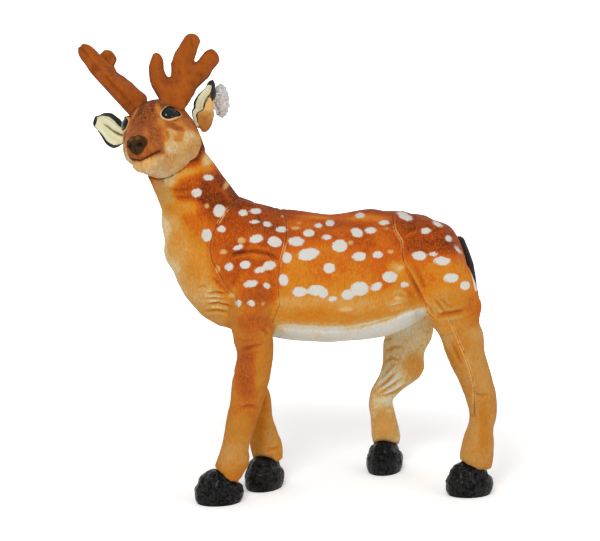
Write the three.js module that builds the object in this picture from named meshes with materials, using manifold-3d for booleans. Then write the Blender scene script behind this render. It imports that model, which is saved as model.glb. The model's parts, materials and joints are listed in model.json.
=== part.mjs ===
// A standing plush deer, about 0.8 m tall, with its head turned to its left.
// Millimetres, +Z up. The nose of the straight-ahead deer points to -X and its left side to -Y.
// Stuffed pieces are ellipses strung on a curve. Each is cut by the larger pieces that it is sewn to.
// A bent steel frame runs through the legs, the back and the neck, and stands on a board in each hoof.

import * as THREE from "three";
import { mergeVertices } from "three/addons/utils/BufferGeometryUtils.js";
import Module from "manifold-3d";

const wasm = await Module();
wasm.setup();

// Seams
const seamGap = 0.3; // between two pieces that lie against each other
const cutterOverrun = 6; // how far a cutter runs past the face that it cuts

// Torso, from the chest to the rump
const bodyLength = 516;
const bodyWidth = 206;
const bodyDepth = 226;
const bodyHeight = 370; // middle of the barrel above the ground
const chestReach = 229; // from the middle of the stance forward to the chest
const chestRound = 25;
const rumpRound = 42;
const bellySeamDrop = 80; // white underside panel, below the middle of the barrel
// Each row: place along the body, rise of the centre line, width and depth, as shares of the body's sizes
const torsoShares = [
  [0.062, 0.31, 0.5, 0.48],
  [0.125, 0.228, 0.73, 0.76],
  [0.23, 0.145, 0.89, 0.96],
  [0.37, 0.066, 0.97, 0.99],
  [0.54, 0, 1, 1],
  [0.7, 0.022, 0.95, 0.97],
  [0.82, 0.062, 0.86, 0.83],
  [0.918, 0.088, 0.68, 0.6],
];

// Neck, from inside the withers up to the head
const neckWidth = 144;
const neckDepth = 158;
const neckReach = 79; // forward lean from root to top
const neckRise = 168;
const neckRootSetback = 84; // root behind the chest
const neckRootRise = 70; // root above the middle of the barrel
const neckTopShift = 8; // the top leans to the side that the head looks to
const neckRound = 20;
const neckShares = [
  [0, 0, 0, 1, 0.98],
  [0.33, 0.3, 0, 0.86, 0.82],
  [0.57, 0.54, 0.1, 0.76, 0.69],
  [0.775, 0.76, 0.45, 0.71, 0.68],
  [1, 1, 1, 0.7, 0.68],
];

// Head, in a frame of its own: nose to -X, crown to +Z, origin between the ears
const headLength = 168;
const headWidth = 122;
const headDepth = 132;
const headNapeReach = 54; // from the origin back to the nape
const napeRound = 26;
const muzzleRound = 13;
const headForward = 12; // head's origin ahead of the neck's top
const headSideShift = 8;
const headRise = 9; // and above it
const headTurnDegrees = 60;
const headNodDegrees = 8; // nose raised
const headTiltDegrees = -14;
// From the muzzle back to the nape: place, rise, width and depth
const headShares = [
  [0.075, -0.14, 0.4, 0.37],
  [0.17, -0.125, 0.49, 0.46],
  [0.32, -0.085, 0.68, 0.66],
  [0.5, -0.03, 0.91, 0.91],
  [0.68, 0, 1, 1],
  [0.845, 0.02, 0.84, 0.86],
];

// Nose pad and chin
const nosePadWidth = 38;
const nosePadHeight = 27;
const nosePadDepth = 22;
const nosePadRise = 7; // above the middle of the muzzle's end
const chinLength = 52;
const chinWidth = 44;
const chinDepth = 30;
const chinDrop = 25; // below the middle of the muzzle
const chinSetback = 34; // middle of the chin behind the muzzle's end
const padEndShare = 0.25; // domed part at each end of the nose pad and of the chin

// Eyes: domed plastic buttons on a shank, held inside by a washer
const eyeDiameter = 31;
const eyeDomeHeight = 10;
const eyeRimThickness = 2;
const eyeSink = 5; // rim below the plush
const eyeShankDiameter = 7;
const eyeShankLength = 17;
const eyeWasherDiameter = 25;
const eyeWasherThickness = 2.5;
const eyeWasherTail = 4; // shank past the washer
const eyePlaceShare = 0.56; // along the head's stations, from muzzle to nape
const eyeRaiseDegrees = 42;

// Antlers: flat-cut plush, stuffed round, with a beam, a brow tine and a rear tine
const antlerLength = 150;
const antlerBeamWidth = 44;
const antlerTineWidth = 31;
const antlerBrowWidth = 24;
const antlerThickness = 33;
const antlerRoot = 18; // of its length hidden in the crown
const antlerTipRound = 12;
const antlerPlaceShare = 0.74;
const antlerRaiseDegrees = { left: 52, right: 63 };
// Each row: across the antler's plane, out of it, along it, and width
const beamShares = [
  [0, 0, 0, 0.98],
  [-0.01, 0, 0.2, 1.16],
  [-0.02, 0, 0.42, 0.96],
  [-0.01, 0, 0.62, 0.76],
  [0.02, 0, 0.85, 0.7],
];
const rearTineShares = [
  [0.05, 0, 0.24, 1.15],
  [0.12, 0.03, 0.41, 1.08],
  [0.19, 0.09, 0.56, 1],
  [0.28, 0.14, 0.74, 0.88],
];
const browTineShares = [
  [-0.03, 0, 0.08, 1.1],
  [-0.1, 0, 0.18, 1.25],
  [-0.2, 0, 0.28, 1.15],
  [-0.265, 0, 0.39, 0.98],
  [-0.285, 0, 0.52, 0.88],
];
// How each antler is turned in the head's frame, about its X, Y and Z
const antlerTurnDegrees = { left: [17, 26, -77], right: [-30, -10, 14] };

// Ears: a cupped leaf of dark plush with a pale lining, sewn on along its root
const earLength = 84;
const earWidth = 48;
const earThickness = 24; // of the leaf before it is cupped
const earRootRound = 9;
const earTipRound = 14;
const earCupShift = 8; // how far forward the cup is hollowed
const earRimShare = 0.84; // lining's width within the ear
const earLiningThickness = 2.4;
const earPlaceShare = 0.82;
const earRaiseOnHeadDegrees = { left: 10, right: 18 };
const earShares = [
  [0, 0.62, 0.75],
  [0.2, 0.96, 1],
  [0.4, 1, 1],
  [0.6, 0.74, 0.8],
  [0.73, 0.46, 0.56],
];
// How each ear is turned in the head's frame, about its X, Y and Z
const earTurnDegrees = { left: [23, 15, -58], right: [-57, 22, -18] };

// Blank swing tag on a plastic pin at the back of the left ear
const tagDiameter = 46;
const tagThickness = 1.6;
const tagHoleDiameter = 3.6;
const tagHoleInset = 5; // hole's middle in from the rim
const tagStandoff = 17; // tag's middle from the ear's back
const tagPinDiameter = 2.4;
const tagPinLength = 20; // from the ear's back
const tagPinSeat = 2.5; // of the pin inside the ear
const tagPinHeadDiameter = 7;
const tagPinHeadThickness = 1.4;
const tagPlaceShare = 0.82; // up the ear's stations
const tagPlaceDegrees = -68; // round the ear, from its far edge
const tagPinTurnDegrees = [-41, 57, 52]; // in the ear's frame, about X, Y and Z

// Legs. Each path runs from the body down to the hoof
const foreTopRise = 26; // above the middle of the barrel
const foreLegWidth = 80;
const foreLegDepth = 106;
const foreTopSetback = 134; // behind the chest
const foreTopSide = 62; // from the middle plane
const foreTopRound = 42;
const foreFootSide = 37;
// Each row: height, step, sideways, width and depth
const foreShares = {
  left: [
    [1, 0, 0, 1, 0.97],
    [0.85, 0.08, 0.08, 0.92, 0.74],
    [0.64, -0.04, 0.33, 0.8, 0.64],
    [0.46, 0.16, 0.6, 0.67, 0.54],
    [0.27, 0.55, 0.82, 0.6, 0.465],
    [0.1, 1, 1, 0.58, 0.44],
  ],
  right: [
    [1, 0, 0, 1, 0.97],
    [0.85, 0.16, 0.08, 0.92, 0.74],
    [0.64, 0.3, 0.33, 0.8, 0.62],
    [0.46, 0.46, 0.6, 0.67, 0.53],
    [0.27, 0.78, 0.82, 0.6, 0.47],
    [0.1, 1.1, 1, 0.58, 0.45],
  ],
};
const foreSteps = { left: -43, right: 42 }; // foot behind the shoulder

const shoulderWidth = 72;
const shoulderDepth = 126;
const shoulderHeight = 108; // from its lowest to its highest station
const shoulderTopRise = 124; // above the middle of the barrel
const shoulderSetback = 120; // behind the chest
const shoulderSide = 62;
const shoulderRound = 16;
const shoulderShares = [
  [0, 0.06, -0.45, 0.62, 0.7],
  [0.35, 0.02, -0.16, 0.86, 0.96],
  [0.7, 0, -0.03, 0.98, 1],
  [1, 0, 0, 0.94, 0.92],
];

const hindTopDrop = 25; // below the middle of the barrel
const hindLegWidth = 74;
const hindLegDepth = 106;
const hindTopSetback = 462; // behind the chest
const hindTopSide = 72;
const hindTopRound = 20;
const hindFootSide = 88;
const hindFootReach = 66; // how far each hind leg steps at the hock
const hindShares = {
  left: [
    [1, 0.12, 0, 0.76, 0.72],
    [0.76, 0.48, 0.4, 0.78, 0.66],
    [0.49, 0.98, 0.85, 0.66, 0.5],
    [0.36, 1.02, 0.97, 0.6, 0.46],
    [0.13, 0.88, 1, 0.65, 0.52],
  ],
  right: [
    [1, -0.04, 0, 0.76, 0.76],
    [0.76, -0.28, 0.35, 0.8, 0.74],
    [0.62, -0.42, 0.6, 0.75, 0.65],
    [0.5, -0.61, 0.8, 0.7, 0.62],
    [0.405, -0.9, 0.93, 0.63, 0.46],
    [0.27, -0.92, 0.98, 0.6, 0.42],
    [0.13, -0.78, 1, 0.62, 0.47],
  ],
};

const haunchWidth = 78;
const haunchDepth = 108;
const haunchHeight = 124;
const haunchTopRise = 66; // above the middle of the barrel
const haunchSetback = 450;
const haunchSide = 68;
const haunchRound = 32;
const haunchShares = [
  [0, -0.2, -0.38, 0.66, 0.88],
  [0.3, -0.06, -0.12, 0.87, 1],
  [0.66, 0.1, 0.06, 0.97, 0.94],
  [1, 0.27, 0.12, 0.9, 0.83],
];

// Hooves: stuffed black shoes, flat below, each on a sole panel and round a stiff board
const hoofLength = 86;
const hoofWidth = 64;
const hoofHeight = 54;
const hoofTopRound = 7;
const hoofForward = 12; // hoof's middle ahead of the leg
const hoofShares = [
  [0, 0, 0.9, 0.92],
  [0.14, 0, 0.97, 0.98],
  [0.36, 0.01, 1, 1],
  [0.64, 0.03, 0.9, 0.87],
  [0.87, 0.07, 0.62, 0.6],
];
const soleThickness = 1.8;
const soleShare = 0.88; // sole's outline within the hoof's
const boardThickness = 3;
const boardShare = 0.74;
// How far each hoof is turned out
const toeDegrees = { fore: { left: 6, right: -46 }, hind: { left: 4, right: -54 } };

// Tail: black above, white below, hanging from its root seam
const tailLength = 146;
const tailWidth = 40;
const tailThickness = 17;
const tailRootRise = 38; // above the rump's middle line
const tailRootRound = 7;
const tailRootSeat = 2.4; // root sunk into the hollow above the rump
const tailTipRound = 12;
const tailLiningThickness = 6; // rust panel against the rump
const tailShares = [
  [0, 0, 0.72, 0.82],
  [0.28, 0.1, 0.94, 1],
  [0.58, 0.15, 1, 0.96],
  [0.9, 0.17, 0.62, 0.66],
];

// Steel frame
const wireDiameter = 7;
const wireClearance = 0.4; // between the wire and the stuffing
const backboneStartShare = 0.95; // places of the backbone along the body
const backboneMiddleShare = 0.55;
const backboneWithersShare = 0.24;
const backboneRise = 34; // above the middle of the barrel
const neckWireShares = [0.45, 0.75, 1]; // places of the wire along the neck
const wireInHead = 34; // past the neck's top

// How finely each form is faceted
const bodySideCount = 20;
const limbSideCount = 14;
const earSideCount = 12;
const smallSideCount = 10;
const eyeSideCount = 16;
const wireSideCount = 6;
const ringCountPerSpan = 2;
const domeRingCount = 3;
const eyeDomeStepCount = 5;

// Colours and finishes
const finishes = {
  coat: { color: 0xc2661c, roughness: 0.95, metalness: 0 },
  fawn: { color: 0xc98a45, roughness: 0.95, metalness: 0 },
  white: { color: 0xe6e2da, roughness: 0.95, metalness: 0 },
  velvet: { color: 0x8f4116, roughness: 0.9, metalness: 0 },
  dark: { color: 0x2a211b, roughness: 0.95, metalness: 0 },
  lining: { color: 0xd5cfa6, roughness: 0.9, metalness: 0 },
  hoof: { color: 0x121214, roughness: 0.5, metalness: 0 },
  eye: { color: 0x050506, roughness: 0.08, metalness: 0 },
  plastic: { color: 0xe8e8ea, roughness: 0.4, metalness: 0 },
  board: { color: 0x8a6b48, roughness: 0.85, metalness: 0 },
  steel: { color: 0x8f9398, roughness: 0.4, metalness: 0.9 },
  card: { color: 0xf2f2f0, roughness: 0.35, metalness: 0 },
};

const LEFT = -1; // the deer's left is towards -Y
const RIGHT = 1;
const aboveSide = (side, degrees) => (side === RIGHT ? degrees : 180 - degrees);
const sideName = (side) => (side === LEFT ? "left" : "right");
const radians = THREE.MathUtils.degToRad;
const AHEAD = new THREE.Vector3(-1, 0, 0);
const SIDEWAYS = new THREE.Vector3(0, 1, 0);
const UP = new THREE.Vector3(0, 0, 1);

const plushDeer = new THREE.Group();
plushDeer.name = "plush_deer";

// A form is its stations, each a centre with a half width and a half depth, and how its ends are domed.
function form(stations, across, startRound, endRound, sides = limbSideCount) {
  const flat = stations.map(({ wide, deep }) => new THREE.Vector3(wide, deep, 0));
  return {
    spine: new THREE.CatmullRomCurve3(stations.map(({ at }) => at)),
    girth: new THREE.CatmullRomCurve3(flat, false, "chordal"),
    spans: stations.length - 1,
    across,
    startRound,
    endRound,
    sides,
  };
}

// Centre, directions and half sizes of a form at a place from 0 to 1 along its stations.
function sectionAt(shape, place) {
  const { spine, girth, spans } = shape;
  const centre = spine.getPoint(place);
  const along = spine.getTangent(place);
  const across = shape.across.clone().addScaledVector(along, -shape.across.dot(along)).normalize();
  const over = along.clone().cross(across);
  const span = Math.min(spans - 1, Math.floor(place * spans));
  const [low, high] = [girth.points[span], girth.points[span + 1]];
  const blend = place * spans - span;
  const eased = blend * blend * (3 - 2 * blend);
  const smooth = low.clone().lerp(high, (blend + eased) / 2);
  return { centre, along, across, over, wide: smooth.x, deep: smooth.y };
}

// A point on a form's skin, and the skin's outward direction there.
function skinAt(shape, place, degrees) {
  const { centre, across, over, wide, deep } = sectionAt(shape, place);
  const [c, s] = [Math.cos(radians(degrees)), Math.sin(radians(degrees))];
  const point = centre.addScaledVector(across, wide * c).addScaledVector(over, deep * s);
  const outward = across.multiplyScalar(c / wide).addScaledVector(over, s / deep).normalize();
  return { point, outward };
}

// The closed mesh of a form, made thicker all round by grow.
function formGeometry(shape, grow = 0) {
  const rings = [];
  const addRing = (section, shift, scale) => {
    const { centre, along, across, over, wide, deep } = section;
    const middle = centre.clone().addScaledVector(along, shift);
    rings.push(
      Array.from({ length: shape.sides }, (_, side) => {
        const turn = (2 * Math.PI * side) / shape.sides;
        return middle
          .clone()
          .addScaledVector(across, (wide + grow) * scale * Math.cos(turn))
          .addScaledVector(over, (deep + grow) * scale * Math.sin(turn));
      }),
    );
  };
  const first = sectionAt(shape, 0);
  const last = sectionAt(shape, 1);
  const startReach = shape.startRound + grow;
  const endReach = shape.endRound + grow;
  for (let ring = domeRingCount - 1; shape.startRound > 0 && ring > 0; ring--) {
    const turn = ((Math.PI / 2) * ring) / domeRingCount;
    addRing(first, -startReach * Math.sin(turn), Math.cos(turn));
  }
  const steps = shape.spans * ringCountPerSpan;
  for (let step = 0; step <= steps; step++) addRing(sectionAt(shape, step / steps), 0, 1);
  for (let ring = 1; shape.endRound > 0 && ring < domeRingCount; ring++) {
    const turn = ((Math.PI / 2) * ring) / domeRingCount;
    addRing(last, endReach * Math.sin(turn), Math.cos(turn));
  }
  const points = rings.flat();
  const startPole = points.push(first.centre.clone().addScaledVector(first.along, -startReach)) - 1;
  const endPole = points.push(last.centre.clone().addScaledVector(last.along, endReach)) - 1;
  const faces = [];
  const corner = (ring, side) => ring * shape.sides + (side % shape.sides);
  for (let side = 0; side < shape.sides; side++) {
    faces.push(startPole, corner(0, side + 1), corner(0, side));
    for (let ring = 0; ring < rings.length - 1; ring++) {
      const [a, b] = [corner(ring, side), corner(ring, side + 1)];
      const [d, c] = [corner(ring + 1, side), corner(ring + 1, side + 1)];
      faces.push(a, b, c, a, c, d);
    }
    faces.push(endPole, corner(rings.length - 1, side), corner(rings.length - 1, side + 1));
  }
  return new THREE.BufferGeometry().setFromPoints(points).setIndex(faces);
}

// A solid from any closed three.js geometry.
function solidOf(geometry) {
  const bare = geometry.clone();
  bare.deleteAttribute("normal");
  bare.deleteAttribute("uv");
  const merged = mergeVertices(bare);
  const vertProperties = new Float32Array(merged.attributes.position.array);
  const triVerts = new Uint32Array(merged.index.array);
  return new wasm.Manifold(new wasm.Mesh({ numProp: 3, vertProperties, triVerts }));
}

function geometryOf(solid) {
  const { vertProperties, triVerts } = solid.getMesh();
  const geometry = new THREE.BufferGeometry();
  geometry.setAttribute("position", new THREE.BufferAttribute(vertProperties, 3));
  geometry.setIndex(new THREE.BufferAttribute(triVerts, 1));
  geometry.computeVertexNormals();
  return geometry;
}

const formSolid = (shape, grow = 0) => solidOf(formGeometry(shape, grow));
const placed = (solid, matrix) => solid.transform(matrix.elements);

function cut(solid, ...cutters) {
  return cutters.reduce((left, cutter) => left.subtract(cutter), solid);
}

function addMesh(parent, name, solid, finish) {
  const mesh = new THREE.Mesh(geometryOf(solid), new THREE.MeshStandardMaterial(finishes[finish]));
  mesh.name = name;
  parent.add(mesh);
  return mesh;
}

// A bent wire of one thickness, with square ends.
function wireSolid(points, across, diameter) {
  const stations = points.map((at) => ({ at, wide: diameter / 2, deep: diameter / 2 }));
  return formSolid(form(stations, across, 0, 0, wireSideCount));
}

// A lathe-turned solid about +Z, from rows of radius and height that start and end on the axis.
function turned(profile, sides) {
  return solidOf(new THREE.LatheGeometry(profile.map(([r, z]) => new THREE.Vector2(r, z)), sides)
    .rotateX(Math.PI / 2));
}

const rod = (radius, from, to, sides = smallSideCount) =>
  turned([[0, from], [radius, from], [radius, to], [0, to]], sides);

// Torso

const chestX = -chestReach;
const torsoStations = torsoShares.map(([along, rise, width, depth]) => ({
  at: new THREE.Vector3(chestX + along * bodyLength, 0, bodyHeight + rise * bodyDepth),
  wide: (width * bodyWidth) / 2,
  deep: (depth * bodyDepth) / 2,
}));
const torso = form(torsoStations, SIDEWAYS, chestRound, rumpRound, bodySideCount);
const torsoCutter = formSolid(torso, seamGap);

// Neck

const neckRoot = new THREE.Vector3(chestX + neckRootSetback, 0, bodyHeight + neckRootRise);
const neckStations = neckShares.map(([ahead, rise, shift, width, depth]) => ({
  at: neckRoot.clone().add(
    new THREE.Vector3(-ahead * neckReach, LEFT * shift * neckTopShift, rise * neckRise),
  ),
  wide: (width * neckWidth) / 2,
  deep: (depth * neckDepth) / 2,
}));
const neck = form(neckStations, SIDEWAYS, neckRound, neckRound, bodySideCount);
const neckTop = neckStations.at(-1).at;

// Head

const headStations = headShares.map(([along, rise, width, depth]) => ({
  at: new THREE.Vector3(headNapeReach - (1 - along) * headLength, 0, rise * headDepth),
  wide: (width * headWidth) / 2,
  deep: (depth * headDepth) / 2,
}));
const head = form(headStations, SIDEWAYS, muzzleRound, napeRound, bodySideCount);
const headGroup = new THREE.Group();
headGroup.position.copy(neckTop).add(new THREE.Vector3(-headForward, LEFT * headSideShift, headRise));
headGroup.rotation.set(
  radians(headTiltDegrees),
  radians(headNodDegrees),
  radians(headTurnDegrees),
  "ZYX",
);
headGroup.updateMatrix();
plushDeer.add(headGroup);
const headToWorld = headGroup.matrix;
const worldToHead = headToWorld.clone().invert();

// Legs

function legStations(side, shares, top, foot, width, depth) {
  return shares.map(([height, step, sideways, wide, deep]) => ({
    at: new THREE.Vector3(
      top.x + step * foot.step,
      side * THREE.MathUtils.lerp(top.side, foot.side, sideways),
      height * top.height,
    ),
    wide: (wide * width) / 2,
    deep: (deep * depth) / 2,
  }));
}

function foreLeg(side) {
  const top = { x: chestX + foreTopSetback, side: foreTopSide, height: bodyHeight + foreTopRise };
  const foot = { step: foreSteps[sideName(side)], side: foreFootSide };
  const shares = foreShares[sideName(side)];
  const stations = legStations(side, shares, top, foot, foreLegWidth, foreLegDepth);
  return form(stations, SIDEWAYS, foreTopRound, seamGap);
}

function hindLeg(side) {
  const top = { x: chestX + hindTopSetback, side: hindTopSide, height: bodyHeight - hindTopDrop };
  const foot = { step: hindFootReach, side: hindFootSide };
  const shares = hindShares[sideName(side)];
  const stations = legStations(side, shares, top, foot, hindLegWidth, hindLegDepth);
  return form(stations, SIDEWAYS, hindTopRound, seamGap);
}

// A pad sewn on the torso's side, from its highest station down.
function sidePad(side, shares, sizes) {
  const stations = shares.map(([down, back, out, width, depth]) => ({
    at: new THREE.Vector3(
      chestX + sizes.setback + back * sizes.depth,
      side * (sizes.side + out * sizes.width),
      bodyHeight + sizes.topRise - down * sizes.height,
    ),
    wide: (width * sizes.width) / 2,
    deep: (depth * sizes.depth) / 2,
  }));
  return form(stations, SIDEWAYS, sizes.round, sizes.round);
}

const shoulder = (side) =>
  sidePad(side, shoulderShares, {
    setback: shoulderSetback,
    side: shoulderSide,
    topRise: shoulderTopRise,
    height: shoulderHeight,
    width: shoulderWidth,
    depth: shoulderDepth,
    round: shoulderRound,
  });

const haunch = (side) =>
  sidePad(side, haunchShares, {
    setback: haunchSetback,
    side: haunchSide,
    topRise: haunchTopRise,
    height: haunchHeight,
    width: haunchWidth,
    depth: haunchDepth,
    round: haunchRound,
  });

// Hooves. Each stands in a frame of its own: toe to -X, sole on the ground

const hoofBase = soleThickness + seamGap;
const hoofStations = hoofShares.map(([height, back, width, length]) => ({
  at: new THREE.Vector3(back * hoofLength, 0, hoofBase + height * (hoofHeight - hoofBase)),
  wide: (width * hoofWidth) / 2,
  deep: (length * hoofLength) / 2,
}));
const hoof = form(hoofStations, SIDEWAYS, 0, hoofTopRound);

// A flat panel of the hoof's outline.
function footPanel(share, from, thickness) {
  const outline = new THREE.Shape().absellipse(
    0,
    0,
    (share * hoofLength) / 2,
    (share * hoofWidth) / 2,
    0,
    2 * Math.PI,
  );
  const depthOnly = { depth: thickness, bevelEnabled: false, curveSegments: smallSideCount };
  return solidOf(new THREE.ExtrudeGeometry(outline, depthOnly).translate(0, 0, from));
}

function footGroup(leg, side, toe) {
  const group = new THREE.Group();
  const ankle = leg.spine.points.at(-1);
  group.rotation.z = side * radians(-toe);
  const forward = AHEAD.clone().applyEuler(group.rotation).multiplyScalar(hoofForward);
  group.position.set(ankle.x + forward.x, ankle.y + forward.y, 0);
  group.updateMatrix();
  plushDeer.add(group);
  return group;
}

// Steel frame

const backboneAt = (share) =>
  new THREE.Vector3(chestX + share * bodyLength, 0, bodyHeight + backboneRise);
const neckWire = neckWireShares.map((place) => neck.spine.getPoint(place));
const wireEnd = neckTop.clone().addScaledVector(neck.spine.getTangent(1), wireInHead);
const backbonePoints = [
  backboneAt(backboneStartShare),
  backboneAt(backboneMiddleShare),
  backboneAt(backboneWithersShare),
  ...neckWire,
  wireEnd,
];
const boardTop = hoofBase + seamGap + boardThickness;

// A hoop from hoof to hoof: up one leg, under the backbone and down the other leg.
function hoopPoints(leftLeg, rightLeg) {
  const legPath = (leg) => {
    const path = leg.spine.points.slice(1).reverse();
    const ankle = path[0];
    const foot = new THREE.Vector3(ankle.x, ankle.y, boardTop + seamGap);
    return [foot, ...path];
  };
  const [leftPath, rightPath] = [legPath(leftLeg), legPath(rightLeg)];
  const middle = leftPath.at(-1).clone().add(rightPath.at(-1)).divideScalar(2);
  middle.z = bodyHeight + backboneRise - wireDiameter - seamGap;
  return [...leftPath, middle, ...rightPath.reverse()];
}

const foreLegs = { left: foreLeg(LEFT), right: foreLeg(RIGHT) };
const hindLegs = { left: hindLeg(LEFT), right: hindLeg(RIGHT) };
const foreHoop = hoopPoints(foreLegs.left, foreLegs.right);
const hindHoop = hoopPoints(hindLegs.left, hindLegs.right);
const channelDiameter = wireDiameter + 2 * wireClearance;
const wireRuns = [
  ["backbone_wire", backbonePoints, SIDEWAYS],
  ["front_leg_wire", foreHoop, AHEAD],
  ["hind_leg_wire", hindHoop, AHEAD],
];
const channels = wireRuns.map(([, points, across]) => wireSolid(points, across, channelDiameter));
for (const [name, points, across] of wireRuns) {
  addMesh(plushDeer, name, wireSolid(points, across, wireDiameter), "steel");
}

// Torso with its belly panel

const seamHeight = bodyHeight - bellySeamDrop;
const torsoSolid = cut(formSolid(torso), ...channels);
addMesh(plushDeer, "torso", torsoSolid.trimByPlane([0, 0, 1], seamHeight + seamGap), "coat");
addMesh(plushDeer, "belly_panel", torsoSolid.trimByPlane([0, 0, -1], -seamHeight), "white");

// Neck between torso and head

const headInWorld = placed(formSolid(head, seamGap), headToWorld);
const neckCutter = formSolid(neck, seamGap);
addMesh(plushDeer, "neck", cut(formSolid(neck), torsoCutter, headInWorld, ...channels), "coat");

// Limbs

for (const side of [LEFT, RIGHT]) {
  const name = sideName(side);
  const fore = { limb: "foreleg", leg: foreLegs[name], padName: "shoulder", pad: shoulder(side) };
  const hind = { limb: "hind_leg", leg: hindLegs[name], padName: "haunch", pad: haunch(side) };
  for (const [end, { limb, leg, padName, pad }] of Object.entries({ fore, hind })) {
    const foot = footGroup(leg, side, toeDegrees[end][name]);
    const worldToFoot = foot.matrix.clone().invert();
    const hoofCutter = placed(formSolid(hoof, seamGap), foot.matrix);
    // The foreleg's round top stands out of the shoulder. The haunch covers the hind leg's top.
    const [padCutters, legCutters] = end === "fore" ? [[leg], []] : [[], [pad]];
    const grown = (shapes) => shapes.map((shape) => formSolid(shape, seamGap));
    const padSolid = cut(formSolid(pad), torsoCutter, neckCutter, ...grown(padCutters), ...channels);
    const legSolid = cut(formSolid(leg), torsoCutter, hoofCutter, ...grown(legCutters), ...channels);
    addMesh(plushDeer, `${padName}_${name}`, padSolid, "coat");
    addMesh(plushDeer, `${limb}_${name}`, legSolid, "fawn");
    const footChannels = channels.map((channel) => placed(channel, worldToFoot));
    const boardPocket = footPanel(
      boardShare + (2 * seamGap) / hoofWidth,
      hoofBase - cutterOverrun,
      boardThickness + 2 * seamGap + cutterOverrun,
    );
    addMesh(foot, `hoof_${end}_${name}`, cut(formSolid(hoof), boardPocket, ...footChannels), "hoof");
    addMesh(foot, `sole_${end}_${name}`, footPanel(soleShare, 0, soleThickness), "hoof");
    const board = footPanel(boardShare, hoofBase, boardThickness);
    addMesh(foot, `foot_board_${end}_${name}`, board, "board");
  }
}

// Eyes

const eyeSeat = eyeDomeHeight + eyeRimThickness;
const eyeProfile = (grow) => {
  const radius = eyeDiameter / 2 + grow;
  const steps = Array.from({ length: eyeDomeStepCount }, (_, step) => step / eyeDomeStepCount);
  const dome = steps.map((step) => [
    radius * Math.cos((Math.PI / 2) * step),
    eyeRimThickness + (eyeDomeHeight + grow) * Math.sin((Math.PI / 2) * step),
  ]);
  const shank = eyeShankDiameter / 2 + grow;
  return [
    [0, -eyeShankLength - grow],
    [shank, -eyeShankLength - grow],
    [shank, -grow],
    [radius, -grow],
    ...dome,
    [0, eyeSeat + grow],
  ];
};
const washerBase = -eyeShankLength + eyeWasherTail;
const washerTop = washerBase + eyeWasherThickness;
const headCutters = [];
const eyeFrames = {};
for (const side of [LEFT, RIGHT]) {
  const raise = aboveSide(side, eyeRaiseDegrees);
  const { point, outward } = skinAt(head, eyePlaceShare, raise);
  const frame = new THREE.Group();
  frame.position.copy(point).addScaledVector(outward, -eyeSink);
  frame.quaternion.setFromUnitVectors(UP, outward);
  frame.updateMatrix();
  headGroup.add(frame);
  eyeFrames[sideName(side)] = frame;
  addMesh(frame, `eye_${sideName(side)}`, turned(eyeProfile(0), eyeSideCount), "eye");
  const [pocketBase, pocketTop] = [washerBase - seamGap, washerTop + seamGap];
  const hole = rod(eyeShankDiameter / 2 + seamGap, pocketBase, pocketTop);
  const washer = rod(eyeWasherDiameter / 2, washerBase, washerTop, limbSideCount);
  addMesh(frame, `eye_washer_${sideName(side)}`, washer.subtract(hole), "plastic");
  const washerPocket = rod(eyeWasherDiameter / 2 + seamGap, pocketBase, pocketTop, limbSideCount);
  headCutters.push(placed(turned(eyeProfile(seamGap), eyeSideCount), frame.matrix));
  headCutters.push(placed(washerPocket, frame.matrix));
}

// Head, nose pad and chin

const headCutter = formSolid(head, seamGap);
const headChannel = placed(channels[0], worldToHead);
addMesh(headGroup, "head", cut(formSolid(head), headChannel, ...headCutters), "coat");

// A short pad with domed ends, lying along a direction.
function padForm(middle, along, across, length, width, depth) {
  const reach = (0.5 - padEndShare) * length;
  const stations = [-reach, 0, reach].map((step) => ({
    at: middle.clone().addScaledVector(along, step),
    wide: width / 2,
    deep: depth / 2,
  }));
  const round = padEndShare * length;
  return form(stations, across, round, round, smallSideCount);
}

const muzzleEnd = headStations[0].at;
const noseMiddle = muzzleEnd.clone().add(new THREE.Vector3(-muzzleRound / 2, 0, nosePadRise));
const nosePad = padForm(noseMiddle, SIDEWAYS, AHEAD, nosePadWidth, nosePadDepth, nosePadHeight);
addMesh(headGroup, "nose", cut(formSolid(nosePad), headCutter), "dark");

const chinMiddle = muzzleEnd.clone().add(new THREE.Vector3(chinSetback - muzzleRound, 0, -chinDrop));
const chin = padForm(chinMiddle, AHEAD, SIDEWAYS, chinLength, chinWidth, chinDepth);
const neckInHead = placed(formSolid(neck, seamGap), worldToHead);
addMesh(headGroup, "chin", cut(formSolid(chin), headCutter, neckInHead), "fawn");

// Antlers

function antlerStations(shares, side, width) {
  return shares.map(([across, out, along, wide]) => ({
    at: new THREE.Vector3(across, -side * out, along).multiplyScalar(antlerLength),
    wide: (wide * width) / 2,
    deep: Math.min(wide * width, antlerThickness) / 2,
  }));
}

// A frame on the head, from a place and the degrees by which it is turned.
function headFrame(position, degrees) {
  const frame = new THREE.Group();
  frame.position.copy(position);
  frame.rotation.set(...degrees.map(radians), "XYZ");
  frame.updateMatrix();
  headGroup.add(frame);
  return frame;
}

for (const side of [LEFT, RIGHT]) {
  const name = sideName(side);
  const raise = aboveSide(side, antlerRaiseDegrees[name]);
  const { point, outward } = skinAt(head, antlerPlaceShare, raise);
  const tines = [
    [beamShares, antlerBeamWidth],
    [rearTineShares, antlerTineWidth],
    [browTineShares, antlerBrowWidth],
  ].map(([shares, width]) => {
    const stations = antlerStations(shares, side, width);
    return formSolid(form(stations, AHEAD, antlerRoot / 2, antlerTipRound, smallSideCount));
  });
  const frame = headFrame(point.addScaledVector(outward, -antlerRoot / 2), antlerTurnDegrees[name]);
  const whole = tines.reduce((all, tine) => all.add(tine));
  const clear = placed(headCutter, frame.matrix.clone().invert());
  const outside = cut(whole, clear).decompose().sort((a, b) => b.volume() - a.volume())[0];
  addMesh(frame, `antler_${name}`, outside, "velvet");
}

// Ears, each on its own frame: root at the origin, tip to +Z, cup to -X

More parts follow.
